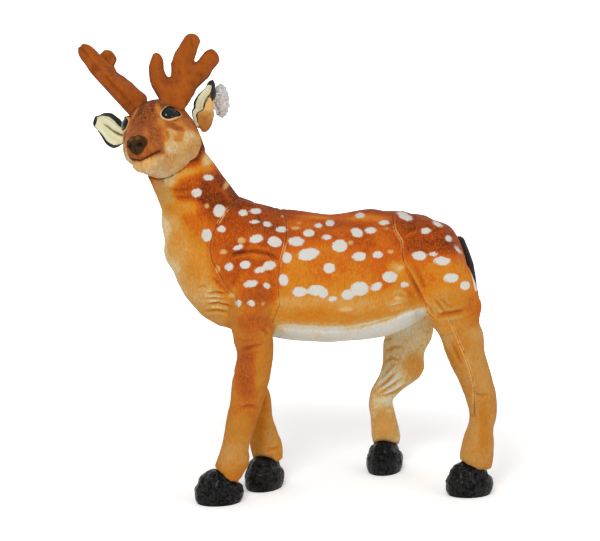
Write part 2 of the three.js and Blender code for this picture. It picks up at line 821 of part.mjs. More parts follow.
function earForm(width, thickness, ahead, lift) {
  const stations = earShares.map(([along, wide, deep]) => ({
    at: new THREE.Vector3(-ahead * wide, 0, along * earLength + lift),
    wide: (wide * width) / 2,
    deep: (deep * thickness) / 2,
  }));
  return form(stations, SIDEWAYS, earRootRound, earTipRound, earSideCount);
}

const earLeaf = earForm(earWidth, earThickness, 0, 0);
const earCup = earForm(earWidth * earRimShare, earThickness, earCupShift, 0);
const earCupFront = earForm(
  earWidth * earRimShare,
  earThickness,
  earCupShift + earLiningThickness,
  earLiningThickness / 2,
);
// The pin's frame: its axis is Z and the tag hangs towards X.
function tagPinFrame(earFrame) {
  const frame = new THREE.Group();
  frame.position.copy(skinAt(earLeaf, tagPlaceShare, tagPlaceDegrees).point);
  frame.rotation.set(...tagPinTurnDegrees.map(radians), "XYZ");
  frame.updateMatrix();
  earFrame.add(frame);
  return frame;
}

function tagPin(grow) {
  const stem = tagPinDiameter / 2 + grow;
  const cap = tagPinHeadDiameter / 2;
  const capBase = tagPinLength - tagPinHeadThickness;
  return turned(
    [
      [0, -tagPinSeat - grow],
      [stem, -tagPinSeat - grow],
      [stem, capBase],
      [cap, capBase],
      [cap, tagPinLength],
      [0, tagPinLength],
    ],
    smallSideCount,
  );
}

function tagDisc() {
  const middle = tagDiameter / 2 - tagHoleInset;
  const outline = new THREE.Shape().absarc(middle, 0, tagDiameter / 2, 0, 2 * Math.PI);
  outline.holes.push(new THREE.Path().absarc(0, 0, tagHoleDiameter / 2, 0, 2 * Math.PI, true));
  const sizes = { depth: tagThickness, bevelEnabled: false, curveSegments: smallSideCount };
  const disc = new THREE.ExtrudeGeometry(outline, sizes);
  return solidOf(disc.translate(0, 0, tagStandoff - tagThickness / 2));
}

for (const side of [LEFT, RIGHT]) {
  const name = sideName(side);
  const raise = aboveSide(side, earRaiseOnHeadDegrees[name]);
  const { point, outward } = skinAt(head, earPlaceShare, raise);
  const root = point.addScaledVector(outward, earRootRound + seamGap);
  const frame = headFrame(root, earTurnDegrees[name]);
  const headHere = placed(headCutter, frame.matrix.clone().invert());
  const shell = cut(formSolid(earLeaf), formSolid(earCup, seamGap), headHere);
  if (side === RIGHT) {
    addMesh(frame, `ear_${name}`, shell, "dark");
  } else {
    const pinFrame = tagPinFrame(frame);
    const pinHole = placed(tagPin(seamGap), pinFrame.matrix);
    addMesh(frame, `ear_${name}`, shell.subtract(pinHole), "dark");
    addMesh(pinFrame, "tag_fastener", tagPin(0), "plastic");
    addMesh(pinFrame, "hang_tag", tagDisc(), "card");
  }
  const cupInLeaf = formSolid(earCup).intersect(formSolid(earLeaf));
  const lining = cut(cupInLeaf, formSolid(earCupFront), headHere);
  addMesh(frame, `ear_lining_${name}`, lining, "lining");
}

// Tail, hanging down the rump from its root seam. Its frame's origin is the root.

const rump = sectionAt(torso, 1);
const rootTurn = Math.asin(tailRootRise / rump.deep);
const tailFrame = new THREE.Group();
tailFrame.position.set(
  rump.centre.x + rumpRound * Math.cos(rootTurn) + tailRootRound + seamGap - tailRootSeat,
  0,
  rump.centre.z + tailRootRise,
);
tailFrame.updateMatrix();
plushDeer.add(tailFrame);
const tailStations = (inward) =>
  tailShares.map(([down, back, wide, deep]) => ({
    at: new THREE.Vector3(back * tailLength - inward, 0, -down * tailLength),
    wide: (wide * tailWidth) / 2,
    deep: (deep * tailThickness) / 2,
  }));
const tailForm = (inward) => form(tailStations(inward), SIDEWAYS, tailRootRound, tailTipRound);
const tailClear = placed(torsoCutter, tailFrame.matrix.clone().invert());
const tailWhole = cut(formSolid(tailForm(0)), tailClear);
const underForm = tailForm(tailThickness - tailLiningThickness);
const underTop = -tailRootRound - tailThickness;
const below = (solid, height) => solid.trimByPlane([0, 0, -1], -height);
const tailUnder = below(tailWhole.intersect(formSolid(underForm)), underTop);
const tailOver = tailWhole.subtract(below(formSolid(underForm, seamGap), underTop + seamGap));
addMesh(tailFrame, "tail", tailOver, "dark");
addMesh(tailFrame, "tail_underside", tailUnder, "velvet");

// Stand the whole toy on the middle of its own footprint.
const footprint = new THREE.Box3().setFromObject(plushDeer, true);
const ground = footprint.getCenter(new THREE.Vector3()).setZ(footprint.min.z);
for (const piece of plushDeer.children) piece.position.sub(ground);

export default plushDeer;
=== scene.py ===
# %% [markdown]
# # A plush deer
# A standing stuffed deer: short plush sewn over a wire frame, stuffed antlers and ears, button eyes
# and leatherette hooves. The construction model gives each piece's size and place. This script dresses
# it: a new skin for each stuffed piece, its seams and folds, and a finish for every surface.

# %% Load the construction model
import contextlib
import json
import math

import bmesh
import bpy
import numpy as np
from mathutils import noise, Matrix, Vector
from mathutils.bvhtree import BVHTree


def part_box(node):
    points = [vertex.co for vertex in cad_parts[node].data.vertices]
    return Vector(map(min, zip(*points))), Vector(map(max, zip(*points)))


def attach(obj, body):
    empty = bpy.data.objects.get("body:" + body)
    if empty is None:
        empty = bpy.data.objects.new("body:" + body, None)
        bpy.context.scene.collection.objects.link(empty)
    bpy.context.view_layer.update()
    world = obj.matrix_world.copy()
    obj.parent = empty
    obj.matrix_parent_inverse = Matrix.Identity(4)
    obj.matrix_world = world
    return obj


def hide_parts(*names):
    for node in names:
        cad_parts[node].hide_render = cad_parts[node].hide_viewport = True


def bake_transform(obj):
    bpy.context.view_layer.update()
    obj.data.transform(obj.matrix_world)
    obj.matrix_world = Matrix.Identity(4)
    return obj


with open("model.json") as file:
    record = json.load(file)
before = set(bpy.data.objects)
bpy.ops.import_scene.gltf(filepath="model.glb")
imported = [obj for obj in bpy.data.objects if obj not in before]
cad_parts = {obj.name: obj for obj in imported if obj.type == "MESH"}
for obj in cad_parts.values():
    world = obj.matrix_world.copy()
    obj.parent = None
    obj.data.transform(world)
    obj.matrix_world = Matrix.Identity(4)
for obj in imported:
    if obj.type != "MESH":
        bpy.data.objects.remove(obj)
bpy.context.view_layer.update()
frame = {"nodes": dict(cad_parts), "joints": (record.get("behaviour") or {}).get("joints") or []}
nodes = frame["nodes"]
scene = bpy.context.scene
MM = 0.001

# %% [markdown]
# ## The camera
# The toy was photographed from its left and a little from the front and above, from about 3 m away.
# The camera is made first, because some folds and spots are placed by where they show in the picture:
# `to_pixels` says where a point of the toy falls in a picture of 600 by 541 pixels.

# %% Camera
PICTURE = (600, 541)
AZIMUTH, ELEVATION = math.radians(-13), math.radians(10)
DISTANCE = 3.0
AIM = np.array([0.0184, 0.0018, 0.3866])
LENS, SENSOR = 105.9, 36.0
BACK = np.array([
    math.sin(AZIMUTH) * math.cos(ELEVATION),
    -math.cos(AZIMUTH) * math.cos(ELEVATION),
    math.sin(ELEVATION),
])
RIGHT = np.array([math.cos(AZIMUTH), math.sin(AZIMUTH), 0.0])
UP = np.cross(BACK, RIGHT)
EYE = AIM + BACK * DISTANCE

camera = bpy.data.objects.new("camera", bpy.data.cameras.new("camera"))
scene.collection.objects.link(camera)
camera.data.lens, camera.data.sensor_width = LENS, SENSOR
camera.location = EYE
camera.rotation_euler = Vector(-BACK).to_track_quat("-Z", "Y").to_euler()
scene.camera = camera


def to_pixels(points):
    """Where points fall in the picture, in pixels from its top left corner."""
    rays = points - EYE
    depth = -rays @ BACK
    pixels_per_slope = LENS / SENSOR * PICTURE[0]
    across = PICTURE[0] / 2 + pixels_per_slope * (rays @ RIGHT) / depth
    down = PICTURE[1] / 2 - pixels_per_slope * (rays @ UP) / depth
    return np.stack([across, down], 1)


PIXEL = DISTANCE * SENSOR / (LENS * PICTURE[0])
print("one pixel is about", round(PIXEL / MM, 2), "mm on the toy")

# %% [markdown]
# ## Floor
# The toy stands on a sheet of paper that curves up behind it, as in a studio. It is no part of the toy,
# so it goes on the stage.

# %% Floor
def link(name, data):
    obj = bpy.data.objects.new(name, data)
    scene.collection.objects.link(obj)
    return obj


def floor_mesh(half_width, front, back, height, bend):
    """A sheet that runs level from front to back and then curves up to height."""
    profile = [(-front, 0.0), (back - bend, 0.0)]
    turns = [math.radians(t) for t in range(10, 91, 10)]
    profile += [(back - bend + bend * math.sin(t), bend - bend * math.cos(t)) for t in turns]
    profile.append((back, height))
    corners = [(x, y, z) for y, z in profile for x in (-half_width, half_width)]
    faces = [(i, i + 1, i + 3, i + 2) for i in range(0, len(corners) - 2, 2)]
    mesh = bpy.data.meshes.new("floor")
    mesh.from_pydata(corners, [], faces)
    mesh.polygons.foreach_set("use_smooth", [True] * len(faces))
    return mesh


floor = link("floor", floor_mesh(half_width=9, front=6, back=7, height=7, bend=3))
print("floor:", len(floor.data.polygons), "faces")

# %% [markdown]
# ## Light
# Plush needs soft light, or its relief turns harsh: a large lamp from the upper left, a weaker one from
# the right, and an even sky. Their levels are set so that a colour renders about as it is written.

# %% Lamps
def soft_lamp(name, place, size, watts):
    lamp = link(name, bpy.data.lights.new(name, "AREA"))
    lamp.data.shape, lamp.data.size, lamp.data.energy = "DISK", size, watts
    lamp.location = place
    lamp.rotation_euler = (Vector(AIM) - Vector(place)).to_track_quat("-Z", "Y").to_euler()


soft_lamp("key_lamp", (-1.3, -2.6, 2.5), size=1.15, watts=54)
soft_lamp("fill_lamp", (2.2, -2.2, 1.2), size=1.8, watts=14)

# %% [markdown]
# The sky has two levels. Plain white is what the camera, a reflection or a view through glass meets; a
# weaker one lights the toy. A Light Path node tells the two apart.

# %% Sky
def wire(tree, *rows):
    """Links nodes. Each row: a node, its output, the next node, its input."""
    for start, output, end, entry in rows:
        tree.links.new(start.outputs[output], end.inputs[entry])


SKY_LEVEL = 0.64
sky = bpy.data.worlds.new("sky")
scene.world = sky
sky.use_nodes = True
sky.node_tree.nodes.clear()
rays, lit, seen, either, any_way, sky_mix, sky_out = (
    sky.node_tree.nodes.new(f"ShaderNode{kind}") for kind in
    ("LightPath", "Background", "Background", "Math", "Math", "MixShader", "OutputWorld"))
lit.inputs["Strength"].default_value, seen.inputs["Strength"].default_value = SKY_LEVEL, 1.0
lit.inputs["Color"].default_value = seen.inputs["Color"].default_value = (1, 1, 1, 1)
either.operation = any_way.operation = "MAXIMUM"
wire(sky.node_tree,
     (rays, "Is Camera Ray", either, 0), (rays, "Is Glossy Ray", either, 1),
     (either, 0, any_way, 0), (rays, "Is Transmission Ray", any_way, 1),
     (any_way, 0, sky_mix, "Fac"), (lit, 0, sky_mix, 1), (seen, 0, sky_mix, 2),
     (sky_mix, 0, sky_out, "Surface"))
scene.view_settings.view_transform = "Standard"
print("the sky lights the toy at", SKY_LEVEL, "of white")

# %% [markdown]
# ## Shader arithmetic
# Plush, velour and leatherette are each a formula over the surface. `Value` wraps a node socket, so that
# `1 - mask * 0.5` adds the Math nodes itself, which reads better than a page of links.

# %% Shader arithmetic
class Value:
    """A number that changes over the surface."""

    def __init__(self, finish, socket):
        self.finish, self.socket = finish, socket

    def math(self, operation, *others):
        node = self.finish.add("ShaderNodeMath", {"operation": operation})
        for socket, value in zip(node.inputs, (self, *others)):
            self.finish.feed(socket, value)
        return Value(self.finish, node.outputs[0])

    def __add__(self, other):
        return self.math("ADD", other)

    def __mul__(self, other):
        return self.math("MULTIPLY", other)

    def __sub__(self, other):
        return self.math("SUBTRACT", other)

    def __rsub__(self, other):
        return (self * -1).math("ADD", other)

    __radd__, __rmul__ = __add__, __mul__

    def step(self, low, high):
        """0 below low, 1 above high, and a smooth rise between them."""
        node = self.finish.add("ShaderNodeMapRange", {"interpolation_type": "SMOOTHSTEP"})
        for name, value in (("Value", self), ("From Min", low), ("From Max", high)):
            self.finish.feed(node.inputs[name], value)
        return Value(self.finish, node.outputs["Result"])


print("values ready")

# %% [markdown]
# `Finish` holds one material: its Principled shader, and one method that adds any other node from its
# settings and its inputs. Noise and painted numbers come out as values; colours come out as sockets.

# %% Finishes
def linear(colour):
    """A hex colour as the linear numbers that Blender's sockets take."""
    parts = [int(colour[i:i + 2], 16) / 255 for i in (1, 3, 5)]
    return (*[p / 12.92 if p <= 0.04045 else ((p + 0.055) / 1.055) ** 2.4 for p in parts], 1.0)


SOCKETS = {"colour": "Base Color", "roughness": "Roughness", "metallic": "Metallic",
           "specular": "Specular IOR Level", "sheen": "Sheen Weight", "sheen_roughness": "Sheen Roughness"}


class Finish:
    """One material around one Principled shader."""

    def __init__(self, name, **plain):
        self.material = bpy.data.materials.new(name)
        self.material.use_nodes = True
        self.tree = self.material.node_tree
        self.tree.nodes.clear()
        self.shader = self.add("ShaderNodeBsdfPrincipled")
        out = self.add("ShaderNodeOutputMaterial")
        self.tree.links.new(self.shader.outputs[0], out.inputs["Surface"])
        for socket, value in plain.items():
            self.feed(self.shader.inputs[SOCKETS[socket]], value)

    def colour(self, value):
        self.feed(self.shader.inputs["Base Color"], value)

    def add(self, kind, settings=None, **inputs):
        node = self.tree.nodes.new(kind)
        for name, value in (settings or {}).items():
            setattr(node, name, value)
        for name, value in inputs.items():
            self.feed(node.inputs[name], value)
        return node

    def feed(self, socket, value):
        if isinstance(value, Value):
            value = value.socket
        if isinstance(value, bpy.types.NodeSocket):
            self.tree.links.new(value, socket)
        else:
            socket.default_value = value

    def place(self):
        return self.add("ShaderNodeTexCoord").outputs["Object"]

    def painted(self, name):
        """An attribute that was painted on the mesh."""
        node = self.add("ShaderNodeAttribute", {"attribute_name": name})
        return Value(self, node.outputs["Fac"])

    def noise(self, size, detail=3.0, roughness=0.55, stretch=(1, 1, 1), distortion=0.0):
        """Noise from 0 to 1 whose lumps are about size metres across."""
        mapping = self.add("ShaderNodeMapping", Vector=self.place(), Scale=stretch)
        node = self.add("ShaderNodeTexNoise", Vector=mapping.outputs[0], Scale=1 / size, Detail=detail,
                        Roughness=roughness, Distortion=distortion)
        return Value(self, node.outputs["Fac"])

    def ramp(self, value, stops):
        """A colour for each value, from rows of place and hex colour."""
        node = self.add("ShaderNodeValToRGB")
        node.color_ramp.interpolation = "EASE"
        elements = node.color_ramp.elements
        while len(elements) < len(stops):
            elements.new(0.5)
        for element, (place, colour) in zip(elements, stops):
            element.position, element.color = place, linear(colour)
        self.feed(node.inputs["Fac"], value)
        return node.outputs["Color"]

    def mix(self, factor, low, high, blend="MIX"):
        """low where the factor is 0 and high where it is 1. Both are colours."""
        node = self.add("ShaderNodeMix", {"data_type": "RGBA", "blend_type": blend})
        colours = [s for s in node.inputs if s.type == "RGBA"]
        self.feed(node.inputs["Factor"], factor)
        for socket, value in zip(colours, (low, high)):
            self.feed(socket, linear(value) if isinstance(value, str) else value)
        return [s for s in node.outputs if s.type == "RGBA"][0]

    def relief(self, height, depth, strength=1.0):
        """Bumps of a height from 0 to 1, depth metres high."""
        node = self.add("ShaderNodeBump", Height=height, Distance=depth, Strength=strength)
        self.feed(self.shader.inputs["Normal"], node.outputs["Normal"])


print("finishes take", ", ".join(SOCKETS))

# %% [markdown]
# The floor is white paper. Near the toy it keeps the shadow, and further off it turns to plain white,
# as paper does under a studio's own background lamps, but only where it's looked at.

# %% Floor finish
PAPER_LIFT, SHADE_REACH, WHITE_REACH = 0.24, 0.42, 1.25
floor_finish = Finish("floor_white", colour=linear("#fafafa"), roughness=0.9, specular=0.1)
reach = floor_finish.add("ShaderNodeVectorMath", {"operation": "LENGTH"})
floor_finish.tree.links.new(floor_finish.place(), reach.inputs[0])
far_off = Value(floor_finish, reach.outputs["Value"]).step(SHADE_REACH, WHITE_REACH)
path = floor_finish.add("ShaderNodeLightPath")
looked_at = Value(floor_finish, path.outputs["Is Camera Ray"])
for kind in ("Is Glossy Ray", "Is Transmission Ray"):
    looked_at = looked_at.math("MAXIMUM", Value(floor_finish, path.outputs[kind]))
lift = looked_at * (far_off * (1 - PAPER_LIFT) + PAPER_LIFT)
paper = floor_finish.add("ShaderNodeCombineColor", Red=lift, Green=lift, Blue=lift)
floor_finish.feed(floor_finish.shader.inputs["Emission Color"], paper.outputs[0])
floor_finish.shader.inputs["Emission Strength"].default_value = 1.0
floor.data.materials.append(floor_finish.material)
print("paper turns white from", SHADE_REACH, "to", WHITE_REACH, "m")

# %% [markdown]
# ## Skins from the construction pieces
# A stuffed toy's skin is one bag of plush, sewn from panels and pulled round by its filling. The
# construction model has it as separate faceted solids. Their copies are made a little thicker, so that
# they run into each other, remeshed into one closed skin, and smoothed as the filling smooths it.

# %% Mesh helpers
def evaluated_mesh(obj):
    """The plain mesh that an object's modifiers make."""
    graph = bpy.context.evaluated_depsgraph_get()
    return bpy.data.meshes.new_from_object(obj.evaluated_get(graph))


def modified(mesh, kind, **settings):
    """The mesh as one modifier leaves it."""
    body = link("body", mesh)
    modifier = body.modifiers.new("modifier", kind)
    for name, value in settings.items():
        setattr(modifier, name, value)
    result = evaluated_mesh(body)
    bpy.data.objects.remove(body)
    return result


@contextlib.contextmanager
def editing(mesh):
    """The mesh opened for editing, and written back when the block ends."""
    bm = bmesh.new()
    bm.from_mesh(mesh)
    yield bm
    bm.to_mesh(mesh)
    bm.free()


def places(mesh):
    flat = np.empty(len(mesh.vertices) * 3)
    mesh.vertices.foreach_get("co", flat)
    return flat.reshape(-1, 3)


def set_places(mesh, points):
    mesh.vertices.foreach_set("co", points.astype(np.float32).ravel())
    mesh.update()


def edges_of(mesh):
    flat = np.empty(len(mesh.edges) * 2, np.int32)
    mesh.edges.foreach_get("vertices", flat)
    return flat.reshape(-1, 2)


def normals_of(mesh):
    flat = np.empty(len(mesh.vertices) * 3, np.float32)
    mesh.vertex_normals.foreach_get("vector", flat)
    return flat.reshape(-1, 3).astype(float)


def paint(mesh, name, values):
    layer = mesh.attributes.get(name) or mesh.attributes.new(name, "FLOAT", "POINT")
    layer.data.foreach_set("value", values.astype(np.float32))


def neighbour_mean(values, edges):
    """For each vertex, the mean of its neighbours' values."""
    count = len(values)
    links_to = np.bincount(edges.ravel(), minlength=count)
    total = np.empty_like(values)
    for axis in range(values.shape[1]):
        total[:, axis] = np.bincount(edges[:, 0], values[edges[:, 1], axis], count)
        total[:, axis] += np.bincount(edges[:, 1], values[edges[:, 0], axis], count)
    return total / np.maximum(links_to, 1)[:, None]


PULL_IN, PUSH_OUT = 0.5, -0.52


def smoothed(points, edges, rounds):
    """Smooths without shrinking: each round pulls in and then pushes out."""
    for amount in (PULL_IN, PUSH_OUT) * rounds:
        points = points + amount * (neighbour_mean(points, edges) - points)
    return points


def tree_of(*names):
    """A search tree over some construction pieces, and each face's piece number."""
    corners, faces, owners = [], [], []
    for number, name in enumerate(names):
        start = len(corners)
        corners += [v.co.copy() for v in nodes[name].data.vertices]
        found = [[start + i for i in p.vertices] for p in nodes[name].data.polygons]
        faces += found
        owners += [number] * len(found)
    return BVHTree.FromPolygons(corners, faces), np.array(owners)


print("mesh helpers ready")

# %% [markdown]
# The steel wires and the eye shanks run in channels inside the stuffing. A skin has no channels, so
# their walls are removed from the copies, and each mouth is closed.

# %% Closed copies without channels
INSIDE = [n for n in nodes if n.endswith("_wire") or n.startswith("eye_")]
CHANNEL_REACH = 0.9 * MM
inside_tree, _ = tree_of(*INSIDE)


def closed_copy(name, grow):
    """A construction piece as a closed mesh without its channels, grown outwards."""
    copy = bpy.data.meshes.new("copy")
    with editing(copy) as bm:
        bm.from_mesh(nodes[name].data)
        bmesh.ops.remove_doubles(bm, verts=bm.verts, dist=0.01 * MM)
        near = {v for v in bm.verts if inside_tree.find_nearest(v.co, CHANNEL_REACH)[0] is not None}
        walls = [f for f in bm.faces if all(v in near for v in f.verts)]
        bmesh.ops.delete(bm, geom=walls, context="FACES")
        bmesh.ops.delete(bm, geom=[v for v in bm.verts if not v.link_faces], context="VERTS")
        bmesh.ops.holes_fill(bm, edges=[e for e in bm.edges if e.is_boundary], sides=0)
        bmesh.ops.triangulate(bm, faces=bm.faces)
        bmesh.ops.recalc_face_normals(bm, faces=bm.faces)
        bm.normal_update()
        for v in bm.verts:
            v.co += v.normal * grow
    return copy


print(len(INSIDE), "pieces run inside the stuffing")

# %% [markdown]
# A voxel remesh melts overlapping solids into one closed surface of even cells, as cloth needs. Small
# shells that close off inside are dropped. `one_skin` does so for copies of several pieces.

# %% One skin over several pieces
def largest_shell(mesh):
    """The mesh without the small closed shells that lie inside it."""
    with editing(mesh) as bm:
        bm.verts.index_update()
        seen, best = set(), []
        for first in bm.verts:
            if first.index in seen:
                continue
            seen.add(first.index)
            shell, waiting = [first], [first]
            while waiting:
                for edge in waiting.pop().link_edges:
                    for v in edge.verts:
                        if v.index not in seen:
                            seen.add(v.index)
                            shell.append(v)
                            waiting.append(v)
            best = max(best, shell, key=len)
        keep = set(best)
        bmesh.ops.delete(bm, geom=[v for v in bm.verts if v not in keep], context="VERTS")
    return mesh


def melted(mesh, cell, rounds):
    """The mesh's solids melted into one smooth closed skin, in cells of about one size."""
    skin = largest_shell(modified(mesh, "REMESH", mode="VOXEL", voxel_size=cell))
    set_places(skin, smoothed(places(skin), edges_of(skin), rounds))
    return skin


def one_skin(name, parts, grow, cell, rounds):
    """One closed smooth skin over several construction pieces."""
    joined = bpy.data.meshes.new(name)
    with editing(joined) as whole:
        for part in parts:
            whole.from_mesh(closed_copy(part, grow))
    return melted(joined, cell, rounds)


SIDES = ("left", "right")
LIMB_PARTS = ("shoulder", "foreleg", "haunch", "hind_leg")
HIDE_PARTS = ["torso", "belly_panel", "neck"] + [f"{part}_{side}" for part in LIMB_PARTS for side in SIDES]
hide_mesh = one_skin("hide", HIDE_PARTS, grow=1.2 * MM, cell=6.8 * MM, rounds=6)
print("hide:", len(hide_mesh.vertices), "vertices")

# %% [markdown]
# ## Measures in the picture
# The print, the seams and the folds are placed by where they show in the picture. These helpers say how
# far a point is from a line or an ellipse drawn there. The trunk is the same on both sides, so its far
# half is folded over onto the near half first.

# %% Measures in the picture
MIDDLE_Y = 4.1 * MM


def nearer_half(points):
    """The far half folded over onto the near half, so that both sides are painted alike."""
    folded = points.copy()
    folded[:, 1] = MIDDLE_Y - np.abs(points[:, 1] - MIDDLE_Y)
    return folded


def ellipse_reach(pixels, x, y, half_long, half_high, tilt=0.0):
    """0 at an ellipse's middle and 1 on its edge. A tilt above 0 lifts its right end."""
    turn = math.radians(tilt)
    across, down = pixels[:, 0] - x, pixels[:, 1] - y
    along = across * math.cos(turn) - down * math.sin(turn)
    side = across * math.sin(turn) + down * math.cos(turn)
    return np.hypot(along / half_long, side / half_high)


def rise(values, low, high):
    """0 below low, 1 above high, and a smooth rise between."""
    share = np.clip((values - low) / (high - low), 0, 1)
    return share * share * (3 - 2 * share)


def line_distance(pixels, line):
    """How far each point is from a line of points."""
    line = np.array(line, float)
    best = np.full(len(pixels), np.inf)
    for start, end in zip(line[:-1], line[1:]):
        run = end - start
        share = np.clip((pixels - start) @ run / (run @ run), 0, 1)
        best = np.minimum(best, np.linalg.norm(pixels - start - share[:, None] * run, axis=1))
    return best


def brushed(values, pixels, strokes):
    """Airbrushing: each stroke pulls the values towards its own inside a soft ellipse."""
    for *shape, tone in strokes:
        weight = 1 - rise(ellipse_reach(pixels, *shape), 0.55, 1.35)
        values = values + weight * (tone - values)
    return values


print("picture measures ready")

# %% [markdown]
# ## Seams and folds
# The panels of the coat meet at the shoulder, the haunch and the rump, and down the hind leg. Folds lie
# where a stuffed limb bends, below the chest and round the haunch. Both are drawn as lines through points
# given in the picture, in pixels.

# %% Seams
SHOULDER_FRONT = [(239.5, 199.7), (227, 209.7), (217, 224.6), (212, 237), (209.5, 248), (212, 262),
                  (217, 269.4), (224.6, 284.3), (235.8, 296.8), (237, 306.7)]
SHOULDER_BACK = [(281.8, 208.5), (286.2, 219.7), (286.8, 237), (283, 252), (280, 264.4), (278, 280.6),
                 (279.4, 305.5), (275.6, 314.2), (273, 322.9)]
HAUNCH_FRONT = [(392, 211.8), (394.9, 230), (401.9, 241.3), (402.6, 254), (404.7, 263.8), (411.7, 275),
                (418.7, 291.8), (424.3, 304.4), (428.5, 314.3), (432.8, 318.5)]
BELLY_EDGE = [(286, 327), (300, 328.5), (325, 331), (350, 329), (372, 324), (395, 317), (412, 311)]
NECK_FOOT = [(165, 209.7), (178, 203.5), (202, 201)]
RUMP_PIPING = [(456.6, 231.5), (464, 245), (471, 266), (476.3, 290.4)]
SEAMS = [SHOULDER_FRONT, SHOULDER_BACK, HAUNCH_FRONT, RUMP_PIPING]
FAINT_SEAMS = [BELLY_EDGE, NECK_FOOT]
# Where a seam carries a painted highlight rather than painted shade, as ellipses: x, y, half length, half
# height.
SEAM_HIGHLIGHTS = [(284, 256, 5, 14), (222, 216, 12, 10), (399, 236, 8, 18), (462, 362, 20, 60)]
LEG_SEAMS = [[(448, 316), (455, 332), (466, 358), (470, 370), (474, 386), (474, 414.5)]]
print(len(SEAMS) + len(LEG_SEAMS), "seams and", len(FAINT_SEAMS), "faint ones")

# %% [markdown]
# Each fold is a line, how deep it is in steps of `FOLD_DEPTH`, and how wide it is in pixels. A depth below
# 0 is a ridge. The legs stand apart from one another in the picture, so each has folds of its own.

# %% Folds
FOLD_DEPTH, FOLD_SHADE = 1.8, 0.085
FOLDS = [
    ([(225.9, 257), (237, 252.6), (253.2, 251), (268.2, 253.2), (280.6, 259.5)], 2.8, 1.9),
    ([(402.6, 241.3), (405.5, 237), (410.3, 234.3), (421.5, 230.8)], -1.5, 1.5),
    ([(404, 265), (410, 277), (417, 289), (422, 300), (427, 311)], 2.2, 1.6),
    ([(432.8, 318.5), (442.6, 315), (451, 313.6), (462, 311.5), (469, 307)], 3.0, 2.0),
    ([(434, 299), (440, 306), (446, 314)], 1.6, 1.4), ([(438, 298), (446, 304), (453, 309)], 1.4, 1.3),
    ([(425, 303), (430, 309), (434, 316)], 1.5, 1.4), ([(413, 262), (420, 276), (424, 290)], 1.2, 1.6),
    ([(206.6, 294.3), (216, 292.5), (226.5, 294.8)], 2.2, 1.2),
    ([(206, 304.5), (218, 303), (233.3, 307.5)], 2.6, 1.3),
    ([(204.7, 311.7), (216, 310), (229, 312.5)], 2.2, 1.2),
    ([(203, 299.5), (214, 298), (228, 301)], 1.5, 1.1), ([(196, 288), (203, 286), (209, 289)], 1.2, 1.2),
    ([(163, 187), (178, 191), (197, 187)], 1.0, 1.5), ([(168, 197), (186, 198), (205, 192)], 1.0, 1.4),
    ([(209, 276), (216, 281), (222, 290)], 1.4, 1.5), ([(389, 300), (400, 296), (411, 297)], 1.2, 1.5),
    ([(398, 283), (405, 288), (412, 296)], 1.2, 1.4), ([(384, 309), (398, 305), (412, 303)], 1.0, 1.5),
]
LEG_FOLDS = {
    "foreleg_left": [
        ([(241, 350), (252, 347), (264, 345)], 2.0, 1.6), ([(240, 342), (254, 340)], 1.0, 1.4),
        ([(239, 409), (249, 406), (258, 408)], 2.0, 1.5), ([(262, 328), (270, 335)], 1.6, 1.4)],
    "foreleg_right": [
        ([(258, 358), (272, 361)], 2.4, 1.5), ([(258, 366), (272, 368)], 2.2, 1.4),
        ([(258, 374), (273, 374)], 2.4, 1.4), ([(264, 452), (282, 446)], 1.4, 1.4)],
    "hind_leg_left": [
        ([(444, 346), (450, 358), (457, 374)], 1.6, 1.3), ([(450, 340), (457, 354), (462, 366)], 1.4, 1.2),
        ([(440, 338), (446, 350)], 1.3, 1.2), ([(470, 392), (480, 396), (492, 394)], 1.2, 1.5),
        ([(466, 414), (478, 417)], 1.2, 1.4)],
    "hind_leg_right": [
        ([(376, 389), (386, 382), (398, 371)], 2.4, 1.5), ([(378, 394), (391, 387), (404, 377)], 2.2, 1.4),
        ([(382, 397), (396, 392), (408, 384)], 2.0, 1.4), ([(384, 352), (394, 347), (405, 346)], 1.4, 1.4),
        ([(384, 362), (392, 358), (400, 360)], 1.4, 1.3), ([(383, 341), (391, 338)], 1.2, 1.3),
        ([(380, 380), (388, 371), (397, 362)], 1.4, 1.3)],
}
print(len(FOLDS) + sum(map(len, LEG_FOLDS.values())), "folds")

# %% [markdown]
# ## Pulls
# A maker shapes a stuffed toy by packing and by pulled threads. `pulled` does the same to a skin: each
# pull moves what lies round a pixel by some pixels, right and down, with a soft edge. The plush also
# bridges each notch where two construction pieces meet.

# %% Pulls
def pulled(points, pixels, pulls):
    """The points moved in the picture's plane. Each pull: x, y, reach, pixels right, pixels down."""
    for x, y, reach, right, down in pulls:
        weight = 1 - rise(np.hypot(pixels[:, 0] - x, pixels[:, 1] - y), 0.15 * reach, reach)
        points = points + weight[:, None] * PIXEL * (right * RIGHT - down * UP)
    return points


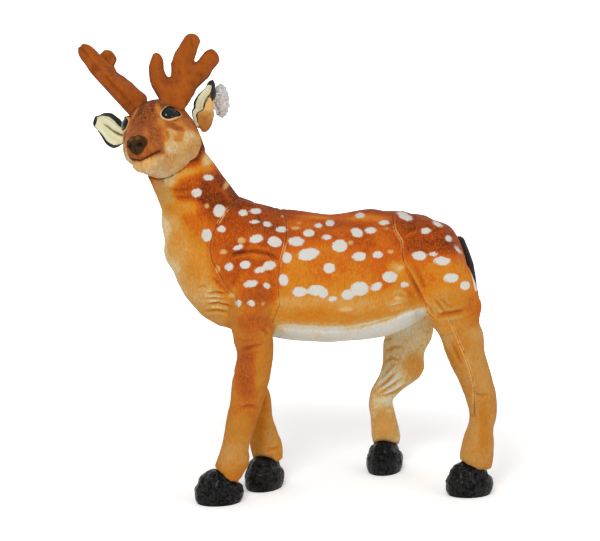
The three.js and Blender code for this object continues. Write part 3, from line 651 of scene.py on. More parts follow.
HIDE_PULLS = [
    (224, 180, 30, 3, -2), (240, 198, 18, 2, -3), (285, 206, 40, 0, 2), (390, 212, 56, 0, -3.5),
    (452, 224, 34, 2, -4), (480, 290, 44, 5, 0), (480, 322, 26, 4.5, 0), (178, 278, 34, 4.5, -2),
    (169, 240, 26, -7, 0), (335, 342, 56, 0, -2), (200, 312, 26, 0, 2), (190, 305, 18, 2.5, -1),
    (172, 268, 12, -1.5, 0),
]
LEG_PULLS = {
    "foreleg_left": [
        (230, 352, 26, 0.5, 0), (233, 385, 20, -3, 0), (233, 420, 30, -2, 0), (244, 462, 18, 4, 0)],
    "foreleg_right": [
        (229, 345, 30, 10, 0), (270, 358, 16, -3, 0), (268, 400, 20, 3.5, 0), (281, 440, 26, 5, 0)],
    "hind_leg_left": [
        (445, 350, 34, -2, 0), (455, 371, 16, -2.5, 0), (444, 342, 12, 2, 0), (481, 331, 20, 6, 0),
        (462, 395, 26, -3.5, 0), (465, 445, 26, -4, 0)],
    "hind_leg_right": [
        (418, 372, 24, 12, 1), (430, 338, 26, 8, 0), (376, 372, 20, 2.5, 0), (383, 344, 18, -6, 0),
        (401, 420, 24, 4, 0)],
}
# Each bridged notch: x, y, reach.
BRIDGED = [(170, 242, 26), (438, 226, 46), (240, 200, 22), (482, 322, 24), (350, 215, 60)]
print(len(HIDE_PULLS) + sum(map(len, LEG_PULLS.values())), "pulls")

# %% [markdown]
# ## Filling
# The filling presses the plush out between the seams, and the seams hold it in. A short cloth simulation
# shows that better than any formula: the skin is a slightly loose sheet under pressure, held where seams
# run and where the legs end. A cap keeps each point near its place.

# %% Cloth under pressure
PRESSURE, CLOTH_STEPS, LOOSENESS = 4.0, 20, -0.03


def filled(mesh, held, cap):
    """Swells the mesh as its filling does, and tells by how much on average.

    held is 1 where a point stays, and 0 where it's free.
    """
    start = places(mesh)
    body = link("filling", mesh.copy())
    group = body.vertex_groups.new(name="held")
    for index in np.flatnonzero(held > 0.02):
        group.add([int(index)], float(held[index]), "REPLACE")
    cloth = body.modifiers.new("cloth", "CLOTH")
    cloth.settings.use_pressure, cloth.settings.uniform_pressure_force = True, PRESSURE
    cloth.settings.effector_weights.gravity = 0
    cloth.settings.vertex_group_mass = "held"
    cloth.settings.shrink_min = LOOSENESS
    cloth.settings.quality = 6
    cloth.point_cache.frame_start, cloth.point_cache.frame_end = 1, CLOTH_STEPS
    for step in range(1, CLOTH_STEPS + 1):
        scene.frame_set(step)
    moved = places(evaluated_mesh(body)) - start
    bpy.data.objects.remove(body)
    scene.frame_set(1)
    length = np.linalg.norm(moved, axis=1, keepdims=True)
    moved *= np.tanh(length / cap) * cap / np.maximum(length, 1e-9)
    set_places(mesh, start + moved)
    return float(length.mean())


print("cloth ready:", CLOTH_STEPS, "steps")

# %% [markdown]
# The hide is held along its seams, at the ankles and at the top of the neck, where other pieces grip it.
# It starts a little slack, so that the pressure brings it back to its size. One subdivision then rounds
# the cells.

# %% Fill the hide
CAP, SLACK = 5 * MM, 2.6 * MM
SEAM_HOLD, ANKLE, NECK_GRIP = 3.2, (0.06, 0.09), (0.05, 0.075)
NECK_TOP = np.array([-0.2075, -0.005, 0.62])
hide_places = places(hide_mesh)
hide_pixels = to_pixels(nearer_half(hide_places))
seam_distance = np.min([line_distance(hide_pixels, s) for s in SEAMS], axis=0)
held = 0.9 * (1 - rise(seam_distance, SEAM_HOLD * 0.4, SEAM_HOLD))
held = np.maximum(held, 1 - rise(hide_places[:, 2], *ANKLE))
held = np.maximum(held, 1 - rise(np.linalg.norm(hide_places - NECK_TOP, axis=1), *NECK_GRIP))
set_places(hide_mesh, hide_places - normals_of(hide_mesh) * (SLACK * (1 - held))[:, None])
print("mean swelling", round(filled(hide_mesh, held, CAP) / MM, 2), "mm")
hide_mesh = modified(hide_mesh, "SUBSURF", levels=1)
print("hide:", len(hide_mesh.polygons), "faces")

# %% [markdown]
# ## Shape of the hide
# The pulls act on the trunk and on each leg apart, so each point first learns which construction piece it
# belongs to. The moves are averaged over their neighbours, which keeps the skin even where a leg meets
# the trunk.

# %% Pull the hide into shape
hide_tree, hide_owner = tree_of(*HIDE_PARTS)
LEGS = [n for n in HIDE_PARTS if "leg" in n]


def owners_of(points):
    """The name of the construction piece that each point belongs to."""
    return np.array([HIDE_PARTS[hide_owner[hide_tree.find_nearest(Vector(p))[2]]] for p in points])


PULL_ROUNDS, BRIDGE_ROUNDS, LEG_ROUNDS = 24, 30, 8
hide_edges = edges_of(hide_mesh)
hide_places = places(hide_mesh)
hide_owners = owners_of(hide_places)
folded = nearer_half(hide_places)
moved = pulled(folded, to_pixels(folded), HIDE_PULLS) - folded
moved[hide_places[:, 1] > MIDDLE_Y, 1] *= -1
moved[np.isin(hide_owners, LEGS)] = 0
for owner, pulls in LEG_PULLS.items():
    there = hide_owners == owner
    moved[there] = (pulled(hide_places, to_pixels(hide_places), pulls) - hide_places)[there]
for _ in range(PULL_ROUNDS):
    moved = neighbour_mean(moved, hide_edges)
hide_places = hide_places + moved
bridged = np.max([1 - rise(np.hypot(*(to_pixels(folded) - (x, y)).T), 0.4 * reach, reach)
                  for x, y, reach in BRIDGED], axis=0)
bridged = np.where(np.isin(hide_owners, LEGS), 0.0, bridged)[:, None]
for _ in range(BRIDGE_ROUNDS):
    hide_places += 0.6 * bridged * (neighbour_mean(hide_places, hide_edges) - hide_places)
evened = smoothed(hide_places, hide_edges, LEG_ROUNDS)
hide_places = np.where(np.isin(hide_owners, LEGS)[:, None], evened, hide_places)
set_places(hide_mesh, hide_places)
print("longest pull", round(float(np.linalg.norm(moved, axis=1).max()) / MM, 1), "mm")

# %% [markdown]
# A seam is narrower than a cell, so it comes after the filling, and the cells near each seam and fold are
# divided once more. More cells everywhere would only make the piece heavy.

# %% Finer cells along the lines
SEAM_REACH, FOLD_REACH = 3.6, 2.88


def refined(mesh, near):
    """Divides the edges between near points in two."""
    with editing(mesh) as bm:
        bm.verts.ensure_lookup_table()
        edges = [e for e in bm.edges if near[e.verts[0].index] and near[e.verts[1].index]]
        bmesh.ops.subdivide_edges(bm, edges=edges, cuts=1, use_grid_fill=True)


def nearest(pixels, lines):
    """How far each point is from the nearest of several lines."""
    return np.min([line_distance(pixels, line) for line in lines], axis=0)


hide_pixels, own_pixels = to_pixels(nearer_half(hide_places)), to_pixels(hide_places)
near_line = nearest(hide_pixels, SEAMS + LEG_SEAMS + FAINT_SEAMS) < SEAM_REACH
near_line |= nearest(hide_pixels, [line for line, _, _ in FOLDS]) < FOLD_REACH
for owner, folds in LEG_FOLDS.items():
    near_fold = nearest(own_pixels, [line for line, _, _ in folds]) < FOLD_REACH
    near_line |= near_fold & (hide_owners == owner)
refined(hide_mesh, near_line)
print("hide:", len(hide_mesh.polygons), "faces")

# %% [markdown]
# Both sides of the trunk carry what shows on the near one, but each leg only what shows of itself. The
# weights say how squarely a point faces the camera, so that nothing is smeared over a part that turns
# away.

# %% What shows of the hide
hide_places = places(hide_mesh)
hide_owners = owners_of(hide_places)
on_leg = np.isin(hide_owners, LEGS)
on_far = hide_places[:, 1] > MIDDLE_Y
hide_pixels, own_pixels = to_pixels(nearer_half(hide_places)), to_pixels(hide_places)
facing = normals_of(hide_mesh)
seen = rise(facing @ BACK, -0.1, 0.3)
facing[on_far, 1] *= -1
shown = rise(facing @ BACK, -0.15, 0.25)
trunk_weight = shown * np.where(on_leg & on_far, 0.0, 1.0)
print(int(on_leg.sum()), "of", len(on_leg), "vertices belong to the legs")

# %% [markdown]
# Each seam is a narrow groove, with the plush rounding over on both sides of it. `seam` keeps each
# point's distance from the nearest one, so that the finish can paint shade in the groove and a painted
# highlight along its edges.

# %% Sew the seams
SEAM_WIDTH, SEAM_DEPTH, FAINT_WIDTH, FAINT_DEPTH = 1.0, 1.6 * MM, 1.3, 1.2 * MM
FAR_OFF = 9.0


def groove(distance, width, depth):
    """A sewn line: a narrow groove between two rounded edges."""
    edges = np.exp(-((distance / width - 2.6) / 1.2) ** 2)
    return 0.35 * depth * edges - depth * np.exp(-(distance / width) ** 2)


depth, seam = np.zeros(len(hide_places)), np.full(len(hide_places), FAR_OFF)
for line in SEAMS + LEG_SEAMS:
    distance = line_distance(hide_pixels, line)
    depth += groove(distance, SEAM_WIDTH, SEAM_DEPTH) * trunk_weight
    seam = np.minimum(seam, np.where(trunk_weight > 0.3, distance, FAR_OFF))
for line in FAINT_SEAMS:
    depth += groove(line_distance(hide_pixels, line), FAINT_WIDTH, FAINT_DEPTH) * trunk_weight
print("deepest seam", round(-depth.min() / MM, 2), "mm")

# %% [markdown]
# A fold is a wider groove. Its ends fade, because a crease in plush has no hard ends. Its inside gets
# painted shade, darker than relief alone would make it, and its two ridges a painted highlight.

# %% Press the folds
def fold_shade(distance, wide, deep):
    """The painted shade inside a fold, and the painted highlight on its two ridges."""
    inside = np.exp(-(distance / wide) ** 2) - 0.38 * np.exp(-((distance / wide - 2.2) / 0.9) ** 2)
    return FOLD_SHADE * deep * inside


def fading(pixels, line):
    """1 in the middle of a fold, falling to 0 at its ends."""
    ends = np.array([line[0], line[-1]], float)
    half = np.linalg.norm(ends[1] - ends[0]) / 2
    return 1 - rise(np.linalg.norm(pixels - ends.mean(axis=0), axis=1) / (half + 1), 0.35, 1.05)


folds_there = [(fold, hide_pixels, trunk_weight) for fold in FOLDS]
folds_there += [(fold, own_pixels, np.where(hide_owners == owner, seen, 0.0))
                for owner, folds in LEG_FOLDS.items() for fold in folds]
fold_shade_and_highlight = np.zeros(len(hide_places))
for (line, deep, wide), pixels, weight in folds_there:
    distance, weight = line_distance(pixels, line), weight * fading(pixels, line)
    depth += groove(distance, wide, FOLD_DEPTH * deep * MM) * weight
    # Painted shade inside the fold and a painted highlight on its ridges, added to the tone later.
    fold_shade_and_highlight += fold_shade(distance, wide, deep) * weight
set_places(hide_mesh, hide_places + normals_of(hide_mesh) * depth[:, None])
paint(hide_mesh, "seam", seam)
# Patches where a seam gets a painted highlight in place of painted shade.
seam_highlight = np.max([1 - rise(ellipse_reach(hide_pixels, *shape), 0.7, 1.1) for shape in SEAM_HIGHLIGHTS], axis=0)
paint(hide_mesh, "seam_highlight", seam_highlight)
print("deepest fold or seam", round(-depth.min() / MM, 2), "mm")

# %% [markdown]
# ## The deer's coat
# The toy's plush is printed: white spots, a dark back, gold flanks, a white belly. The print is kept as
# numbers painted on the skin. A texture would need the skin cut open and laid flat; numbers do not.
# `spot` is above 0 inside a white spot and falls to below 0 outside, so that the finish can draw a crisp,
# uneven edge. Each row is a spot as it shows: x, y, half length, half height and tilt.

# %% Spots
WHITE_SPOTS = [
    (208.5, 177.6, 5.5, 3.2), (196.6, 192.9, 5.5, 4.5, 10), (219.3, 210.9, 6.3, 6.5),
    (206.6, 235.2, 5.3, 6.7), (221.5, 229, 4.4, 3.5), (243.3, 212.8, 4.5, 3.3), (256, 211.2, 5.8, 3),
    (254.5, 221.9, 4.5, 2), (267.5, 224, 4.5, 2.8, -10), (256.3, 238.9, 7.5, 4.2, 15),
    (274.6, 241.8, 7, 5.5, -15), (281.8, 229.6, 6, 3), (238.3, 247.6, 5.2, 2.6, 20),
    (229, 266.7, 5, 4.2, 15), (245.5, 264.7, 5.6, 4.1), (269.5, 265.5, 6.5, 4.8),
    (260, 269.8, 7, 3.2, 12), (250.5, 283.7, 7.5, 3.6, 12), (266.9, 285.6, 4, 3, -20),
    (238.6, 303.2, 3.5, 3.5), (251.4, 303.2, 4, 3.3), (296.1, 241.4, 8.5, 4.8), (308.6, 233, 5.8, 4),
    (286.8, 257.6, 5, 5.5), (283.7, 280, 4.8, 6), (308.6, 254.2, 11, 6, 12), (318.5, 225.6, 4, 2.7),
    (326.5, 237.1, 5, 2.8), (339.7, 245.8, 7.8, 6.3), (357, 232.6, 6.5, 4.6, -30), (371, 230.5, 6, 3.4),
    (330, 223, 4.5, 3.3), (359.8, 215.3, 5, 2.8), (384.4, 222.6, 5.5, 2.9), (358.8, 256.5, 7.3, 4.7),
    (377.5, 254.5, 5.2, 3.6), (329.2, 268, 6, 5.2), (359.8, 288.7, 9.3, 7.3), (376.6, 286.5, 6, 4, 25),
    (390, 277, 8, 5.6), (404.4, 284.8, 3.8, 3), (347.9, 294.9, 7, 5), (316.3, 290.4, 9, 5.6),
    (323.3, 293.2, 5, 5), (299.5, 291.8, 7.5, 5), (332.4, 298.8, 4.5, 2.8), (404.7, 216, 8.5, 3.8, -25),
    (437.7, 224.2, 5.5, 2.3, -25), (425.7, 230.8, 5.2, 3), (448.9, 238.5, 4, 2.8, -30),
    (419, 255.6, 7.5, 4.3), (433.5, 254, 4.5, 2.2), (441.9, 261, 8.2, 4.5), (451, 278, 7.5, 5),
    (465, 285.5, 5, 4.5), (458, 249.7, 5.5, 1.8, -50),
]
PALE_SPOTS = [
    (206.6, 206, 3, 3), (241.4, 240.5, 4.8, 3.6), (223.4, 252, 4.5, 2.8), (217.8, 269.4, 2.8, 4),
    (231.5, 295.3, 3.7, 2.5), (262.9, 303.6, 2, 2.3), (227, 184, 3, 8, -35), (209, 160, 4, 6, -30),
    (168.7, 180.5, 4, 7, 25), (282.5, 216.5, 2, 1.5), (295.5, 228, 5, 2), (299, 223, 2.5, 1.5),
    (350.4, 242.7, 3.2, 2.6), (386.7, 228.4, 3, 1.7), (390.7, 251.8, 3.8, 2.4), (399.8, 268, 5, 2.6, 30),
    (397.7, 298, 4, 2.5), (345.8, 309.4, 8, 3),
]


def spot_field(pixels, spots):
    """Above 0 inside the spots. It falls in pixels, so that each edge is as sharp as the next."""
    best = np.full(len(pixels), -4.0)
    for x, y, half_long, half_high, *tilt in spots:
        reach = ellipse_reach(pixels, x, y, half_long, half_high, *tilt)
        best = np.maximum(best, (1 - reach) * min(half_long, half_high))
    return best


SPOT_FREE, SPOTTED_LEG = -4.0, (0.32, 0.34)
spotted = rise(facing @ BACK, 0.02, 0.36) * np.where(on_leg & on_far, 0.0, 1.0)
spotted = spotted * np.where(on_leg, rise(hide_places[:, 2], *SPOTTED_LEG), 1.0)
for name, spots in (("spot", WHITE_SPOTS), ("pale", PALE_SPOTS)):
    paint(hide_mesh, name, np.where(spotted > 0.4, spot_field(hide_pixels, spots), SPOT_FREE))
print(len(WHITE_SPOTS), "white spots and", len(PALE_SPOTS), "pale ones")

# %% [markdown]
# `tone` runs from 0, white, to 1, dark red brown. It falls from the back to the belly, and broad soft
# strokes are laid over it, as a painter blocks in a picture. Each stroke is x, y, half length, half
# height, tilt and tone. The spine stays dark, and the belly panel is white below its upper edge.

# %% Tones of the trunk
BACK_TO_BELLY = ((205, 214, 224, 245, 262, 288, 303, 314, 326, 333),
                 (1, .93, .82, .76, .62, .53, .42, .5, .3, 0))
BELLY_TOP = ((262, 286, 300, 325, 350, 372, 395, 412, 425), (336, 327, 329, 332, 330, 325, 318, 311, 306))
TRUNK_STROKES = [
    (172, 255, 22, 60, 12, .15), (190, 300, 35, 28, -30, .26), (199, 222, 16, 24, 0, .7),
    (196, 264, 15, 26, 0, .44), (180, 243, 12, 18, 0, .38), (212, 318, 26, 14, -10, .35),
    (165, 190, 12, 34, 15, .3), (187, 184, 16, 20, 0, .76), (213, 196, 17, 22, -30, .95),
    (222, 178, 12, 22, -25, .93), (206, 168, 20, 6, 10, .62), (182, 208, 18, 7, 8, .45),
    (186, 173, 14, 4, 15, .3), (170, 178, 8, 10, 0, .16), (208, 158, 6, 10, -30, .12),
    # The strokes at 255, 253 paint a paler patch, a painted highlight at the shoulder fold.
    (248, 222, 34, 17, -5, .88), (248, 262, 32, 40, 0, .83), (255, 253, 14, 7, 0, .7),
    (254, 237, 12, 8, 0, .74), (256, 294, 20, 18, 0, .95), (232, 318, 8, 14, 0, .5),
    (256, 318, 16, 12, 0, .78), (372, 219, 28, 3, 0, .6), (300, 224, 16, 6, 0, .68),
    (340, 216, 40, 4, 0, .5), (343, 232, 16, 6, 0, .74), (320, 262, 34, 20, 0, .58),
    (312, 278, 30, 14, 0, .54), (345, 272, 40, 14, 0, .6), (312, 302, 36, 6, 0, .34),
    (306, 317, 26, 6, -4, .5), (345, 318, 30, 6, 5, .44), (352, 305, 30, 7, 0, .36),
    (385, 262, 14, 28, 0, .68), (395, 300, 20, 12, 20, .42), (396, 268, 8, 6, 0, .3),
    (410, 318, 24, 8, 25, .1), (425, 226, 34, 14, -12, .92), (432, 246, 30, 14, -8, .9),
    (436, 274, 28, 20, 0, .56), (452, 298, 20, 10, 0, .4), (455, 300, 22, 14, 15, .47),
    (417, 285, 10, 22, 0, .6), (448, 322, 30, 12, 10, .42), (436, 308, 12, 8, 0, .3),
    # The stroke at 255, 253 on this row adds to the shoulder fold's painted highlight.
    (475, 300, 10, 30, 0, .6), (257, 291, 16, 13, 0, .78), (255, 253, 8, 5, 0, .62),
    (340, 215, 30, 3, 0, .45),
]
HAUNCH_TONE, SPINE_TONE, OUTER_HAUNCH = 0.4, 0.86, 45 * MM
off_legs = np.where(on_leg, 0.0, 1.0)
hide_normals = normals_of(hide_mesh)
tone = brushed(np.interp(hide_pixels[:, 1], *BACK_TO_BELLY), hide_pixels, TRUNK_STROKES)
on_haunch = np.char.startswith(hide_owners, "haunch")
tone = np.where(on_haunch, np.maximum(tone, HAUNCH_TONE), tone)
under = rise(-hide_normals[:, 2], 0.45, 0.8) * rise(hide_pixels[:, 0], 262, 290)
tone = tone * (1 - under * off_legs)
outer_haunch = on_haunch & (np.abs(hide_places[:, 1] - MIDDLE_Y) > OUTER_HAUNCH)
tone = np.where(outer_haunch, np.maximum(tone, HAUNCH_TONE), tone)
spine = rise(hide_normals[:, 2], 0.93, 0.99) * rise(hide_pixels[:, 0], 210, 250)
tone = tone + spine * 0.8 * off_legs * (SPINE_TONE - tone)
below_edge = hide_pixels[:, 1] - np.interp(hide_pixels[:, 0], *BELLY_TOP)
white = rise(below_edge, -1.0, 2.5) * rise(hide_pixels[:, 0], 262, 276)
white = white * rise(-hide_pixels[:, 0], -432, -420)
tone = tone * (1 - white * off_legs)
print(len(TRUNK_STROKES), "strokes on the trunk")

# %% [markdown]
# Each leg is painted as it shows: its ground tone, the height in metres where the trunk's tones take
# over, and its strokes. The picture hides the inner sides of the near legs and the outer sides of the far
# ones, so those get one plain tone.

# %% Tones of the legs
LEG_TONES = {
    "foreleg_left": (.54, .40, [
        (256, 294, 17, 14, 0, .78), (253, 322, 16, 10, 0, .76), (254, 338, 14, 8, 0, .56),
        (247, 372, 12, 27, 0, .83), (259, 372, 5, 30, 0, .5), (247, 412, 14, 9, 0, .6),
        (238, 440, 16, 22, 10, .42), (230, 458, 16, 14, 10, .36)]),
    "foreleg_right": (.44, .40, [
        (261, 412, 6, 30, 0, .64), (273, 430, 8, 24, -15, .36), (269, 364, 6, 14, 0, .34)]),
    "hind_leg_left": (.36, .30, [
        (440, 345, 8, 26, -25, .32), (462, 340, 9, 30, -15, .5), (470, 392, 14, 22, 0, .36),
        (478, 440, 14, 24, 0, .33), (489, 400, 5, 30, 0, .36), (484, 425, 5, 24, 0, .5)]),
    "hind_leg_right": (.2, .32, [
        (408, 338, 14, 20, 0, .12), (415, 366, 9, 12, 0, .42), (390, 380, 14, 12, -20, .1),
        (384, 401, 9, 4, 0, .06), (386, 427, 12, 20, 0, .33), (398, 326, 14, 8, 0, .04)]),
}
OUTSIDE_TONE, INSIDE_TONE = {"foreleg": 0.6, "hind_leg": 0.36}, {"foreleg": 0.5, "hind_leg": 0.16}
away = rise(hide_normals[:, 1], -0.1, 0.5)
for owner, (ground, top, strokes) in LEG_TONES.items():
    leg_tone = brushed(np.full(len(tone), ground), own_pixels, strokes)
    kind, side = owner.rsplit("_", 1)
    hidden = (OUTSIDE_TONE if side == "right" else INSIDE_TONE)[kind]
    leg_tone = leg_tone + away * (hidden - leg_tone)
    joins = rise(hide_places[:, 2], top - 0.04, top + 0.03)
    tone = np.where(hide_owners == owner, leg_tone + joins * (tone - leg_tone), tone)
for _ in range(3):
    tone = neighbour_mean(tone[:, None], edges_of(hide_mesh))[:, 0]
# The tone gets the folds' painted shade and painted highlight here.
paint(hide_mesh, "tone", np.clip(tone + fold_shade_and_highlight, 0, 1))
print("tones from", round(float(tone.min()), 2), "to", round(float(tone.max()), 2))

# %% [markdown]
# The near legs low down, the far foreleg less, and a patch of the haunch carry painted shade, duller and
# browner: `dull` says how much. The seam over the rump has a thin white piping: `piping` is the distance
# from it.

# %% Painted shade and piping
NEAR_LEG_SHADE, FAR_LEG_SHADE, SHADE_HEIGHT = 0.42, 0.2, (0.33, 0.40)
HAUNCH_SHADE = (455, 306, 24, 18, 0, 0.3)
dull = np.where(np.isin(hide_owners, ["foreleg_left", "hind_leg_left"]), NEAR_LEG_SHADE, 0.0)
dull = np.where(hide_owners == "foreleg_right", FAR_LEG_SHADE, dull)
dull = dull * rise(-hide_places[:, 2], -SHADE_HEIGHT[1], -SHADE_HEIGHT[0])
dull = dull + brushed(np.zeros(len(dull)), hide_pixels, [HAUNCH_SHADE]) * (dull < 0.01)
paint(hide_mesh, "dull", dull)
piping = np.where(on_leg, FAR_OFF, line_distance(hide_pixels, RUMP_PIPING))
paint(hide_mesh, "piping", np.where(trunk_weight > 0.3, piping, FAR_OFF))
print("shaded vertices:", int((dull > 0.1).sum()), "with piping:", int((piping < 1).sum()))

# %% [markdown]
# ## Plush
# Short plush looks matt and soft: its pile lies in slightly different directions, so it is mottled in
# patches as wide as a finger, and finely speckled where tufts part. The finish adds both to the painted
# tone before the colour ramp, and the same noise raises the surface. Fibres can't be told apart at this
# distance, so none are made.

# %% Plush finish
COAT_RAMP = [(0.0, "#dcdad0"), (0.12, "#dbc493"), (0.30, "#cd984f"), (0.50, "#ca7f20"), (0.68, "#c15c12"),
             (0.85, "#a3430b"), (1.0, "#6a2809")]
SPOT_WHITE, SPOT_PALE, GLINT_GOLD, DULL_SHADE = "#cfccc3", "#dcb472", "#e0a04a", "#8f5a2b"
SEAM_HIGHLIGHT_COLOUR, SEAM_SHADE, PIPING, BLACK_FELT = "#e8b46c", "#4d230d", "#e9e6dd", "#15110f"


def plush(name, ramp=COAT_RAMP, mottle=0.17, speckle=0.2, pile=1.3 * MM, glints=0.5, coat=False,
          felt=False):
    """Plush whose tone was painted on the mesh. A coat has spots, painted shade low on the legs, and seams
    with painted shade and a painted highlight; felt has black parts.
    """
    finish = Finish(name, roughness=0.95, specular=0.06, sheen=0.06, sheen_roughness=0.5)
    broad = finish.noise(0.05, detail=4, roughness=0.6)
    patch = finish.noise(0.014, detail=4, roughness=0.65, distortion=0.8)
    fine = finish.noise(0.0045, detail=3, roughness=0.65, stretch=(1.5, 1.0, 0.6))
    tuft = finish.noise(pile, detail=2, roughness=0.7, stretch=(1.5, 1.2, 0.7))
    shade = finish.painted("tone") + (broad - 0.5) * (2 * mottle) + (patch - 0.5) * (1.5 * mottle)
    shade = shade + (fine - 0.5) * (2 * speckle)
    colour = finish.ramp(shade, ramp)
    # Gold flecks on the darker tones are painted glints on the tips of the pile.
    glint = finish.noise(0.0026, detail=3, roughness=0.6, stretch=(2.2, 1.2, 0.8), distortion=0.5)
    colour = finish.mix(glint.step(0.56, 0.70) * shade.step(0.3, 0.8) * glints, colour, GLINT_GOLD)
    if coat:
        # Painted shade: low on the legs and on a patch of the haunch the colour turns duller and browner.
        colour = finish.mix(finish.painted("dull") * (broad * 0.4 + 0.5), colour, DULL_SHADE)
        ragged = (fine - 0.5) * 3.4 + (patch - 0.5) * 2.2 + (tuft - 0.5) * 1.2
        colour = finish.mix((finish.painted("pale") + ragged).step(-0.6, 1.8) * 0.75, colour, SPOT_PALE)
        colour = finish.mix((finish.painted("spot") + ragged).step(-0.5, 0.9), colour, SPOT_WHITE)
        # Seams get painted shade in the groove and a painted highlight along its edges; in a few patches
        # the highlight takes the shade's place.
        seam = finish.painted("seam")
        highlight_share = finish.painted("seam_highlight")
        groove_shade = 1 - seam.step(0.2, 0.95)
        lit_edge = seam.step(0.3, 0.8) * (1 - seam.step(1.0, 2.0)) * patch.step(0.36, 0.56)
        colour = finish.mix(lit_edge * (highlight_share * 0.6 + 0.12), colour, SEAM_HIGHLIGHT_COLOUR)
        shows = (1 - highlight_share * 0.8) * (broad.step(0.4, 0.6) * 0.4 + 0.3)
        colour = finish.mix(groove_shade * shows, colour, SEAM_SHADE)
        colour = finish.mix(1 - finish.painted("piping").step(0.5, 1.1), colour, PIPING)
    parted = (tuft.step(0.25, 0.6) * 0.16 + 0.84) * (patch.step(0.25, 0.5) * 0.10 + 0.90)
    grey = finish.add("ShaderNodeCombineColor", Red=parted, Green=parted, Blue=parted)
    colour = finish.mix(1.0, colour, grey.outputs[0], blend="MULTIPLY")
    if felt:
        colour = finish.mix(finish.painted("black"), colour, BLACK_FELT)
    finish.colour(colour)
    finish.relief(tuft * 0.35 + fine * 0.35 + patch * 0.9, depth=2.2 * MM, strength=0.6)
    return finish.material


coat = plush("coat_plush", coat=True)
print("coat:", len(coat.node_tree.nodes), "nodes")

# %% [markdown]
# `piece` finishes a mesh: it gives it its name, finish and soft shading, and tells the frame which body
# it rides on and which construction pieces it stands for.

# %% Finished pieces, the hide first
def piece(name, mesh, material, body, slot, *replaced):
    """A finished piece: its object, finish, body, slot (not used) and the construction pieces it stands
    for.
    """
    obj = link(name, mesh)
    mesh.name = name
    mesh.materials.clear()
    mesh.materials.append(material)
    mesh.polygons.foreach_set("use_smooth", [True] * len(mesh.polygons))
    if body:
        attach(obj, body)
    if replaced:
        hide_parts(*replaced)
    return obj


hide = piece("hide", hide_mesh, coat, "deer", "coat", *HIDE_PARTS)
print("hide done")

# %% [markdown]
# ## The head
# The head is sewn from smaller panels, so its skin gets finer cells. It's the same on both sides of its
# own middle plane, which passes between the eyes and through the nose. What is painted or carved is
# measured on the side that shows in the picture, and the other side is folded over onto it.

# %% The head's own frame
def middle_of(name):
    low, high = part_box(name)
    return (np.array(low) + np.array(high)) / 2


def unit(vector):
    return np.array(vector) / np.linalg.norm(vector)


HEAD_MIDDLE = (middle_of("eye_left") + middle_of("eye_right")) / 2
HEAD_LEFT = unit(middle_of("eye_left") - middle_of("eye_right"))
HEAD_FRONT = middle_of("nose") - HEAD_MIDDLE
HEAD_FRONT = unit(HEAD_FRONT - (HEAD_FRONT @ HEAD_LEFT) * HEAD_LEFT)
HEAD_TOP = np.cross(HEAD_LEFT, HEAD_FRONT)
HEAD_TOP = HEAD_TOP * np.sign(HEAD_TOP[2])


def folded_head(points):
    """The head's right half folded over onto its left half."""
    side = (points - HEAD_MIDDLE) @ HEAD_LEFT
    return points - np.minimum(side, 0)[:, None] * 2 * HEAD_LEFT


def mirrored(ways):
    """One way or many, as in a mirror on the head's middle plane."""
    return ways - 2 * np.multiply.outer(ways @ HEAD_LEFT, HEAD_LEFT)


head_mesh = one_skin("head_skin", ["head", "chin"], grow=0.8 * MM, cell=2.3 * MM, rounds=9)
print("head:", len(head_mesh.vertices), "vertices, turned to", [round(float(v), 2) for v in HEAD_FRONT])

# %% [markdown]
# A face is shaped by needle and thread: pulls move its outline, dents sink the corners of the eyes and
# the sides of the muzzle, and raised patches fill the cheek and the brow. The mouth is a groove, and so
# is the crease behind the jaw. Each dent is x, y, half length, half height, tilt and depth in mm; below 0
# it is raised.

# %% Carve the head
def on_skin(pixel, tree, lift):
    """The point of a skin that shows at a pixel, a little in front of it."""
    slope = SENSOR / (LENS * PICTURE[0])
    ray = -BACK + RIGHT * (pixel[0] - PICTURE[0] / 2) * slope - UP * (pixel[1] - PICTURE[1] / 2) * slope
    hit, normal, _, _ = tree.ray_cast(Vector(EYE), Vector(ray))
    return np.array(hit) + np.array(normal) * lift if hit else None


def pulled_head(points, pulls):
    """Pulls on the head's left half, and the same on its right half, mirrored."""
    folded = folded_head(points)
    moved = pulled(folded, to_pixels(folded), pulls) - folded
    right_half = ((points - HEAD_MIDDLE) @ HEAD_LEFT < 0)[:, None]
    return points + np.where(right_half, mirrored(moved), moved)


HEAD_PULLS = [(197, 132, 20, 1.5, 0), (199, 146, 20, 2.5, 0), (157, 138, 10, -2, 1),
              (142, 165, 16, -1, 1.5)]
HEAD_DENTS = [
    (172, 127, 13, 5, -12, 2.4), (151, 120, 7, 10, 0, 2.2), (163, 138, 5, 12, 15, 2.4),
    (184, 144, 12, 11, 0, -3.2), (141, 151, 9, 4, 15, -1.6), (147, 164, 14, 5, 20, -1.6),
    (168, 102, 12, 4, -5, -2.2), (145, 134, 9, 8, 0, -1.6),
]
MOUTH_LINE = [(136, 161.5), (141.4, 160.2), (147, 157.4), (153, 154.4), (159.2, 151.2)]
JAW_CREASE = [(203, 148), (201, 155), (197, 161)]
MOUTH_WIDTH, MOUTH_DEPTH, JAW_WIDTH, JAW_DEPTH = 1.3, 2.2 * MM, 1.4, 1.4 * MM
head_places = pulled_head(places(head_mesh), HEAD_PULLS)
set_places(head_mesh, head_places)
head_pixels = to_pixels(folded_head(head_places))
depth = np.zeros(len(head_places))
for *shape, deep in HEAD_DENTS:
    depth -= deep * MM * (1 - rise(ellipse_reach(head_pixels, *shape), 0.2, 1.3))
forward = rise((head_places - HEAD_MIDDLE) @ HEAD_FRONT, 0.02, 0.04)
depth += forward * groove(line_distance(head_pixels, MOUTH_LINE), MOUTH_WIDTH, MOUTH_DEPTH)
depth += groove(line_distance(head_pixels, JAW_CREASE), JAW_WIDTH, JAW_DEPTH)
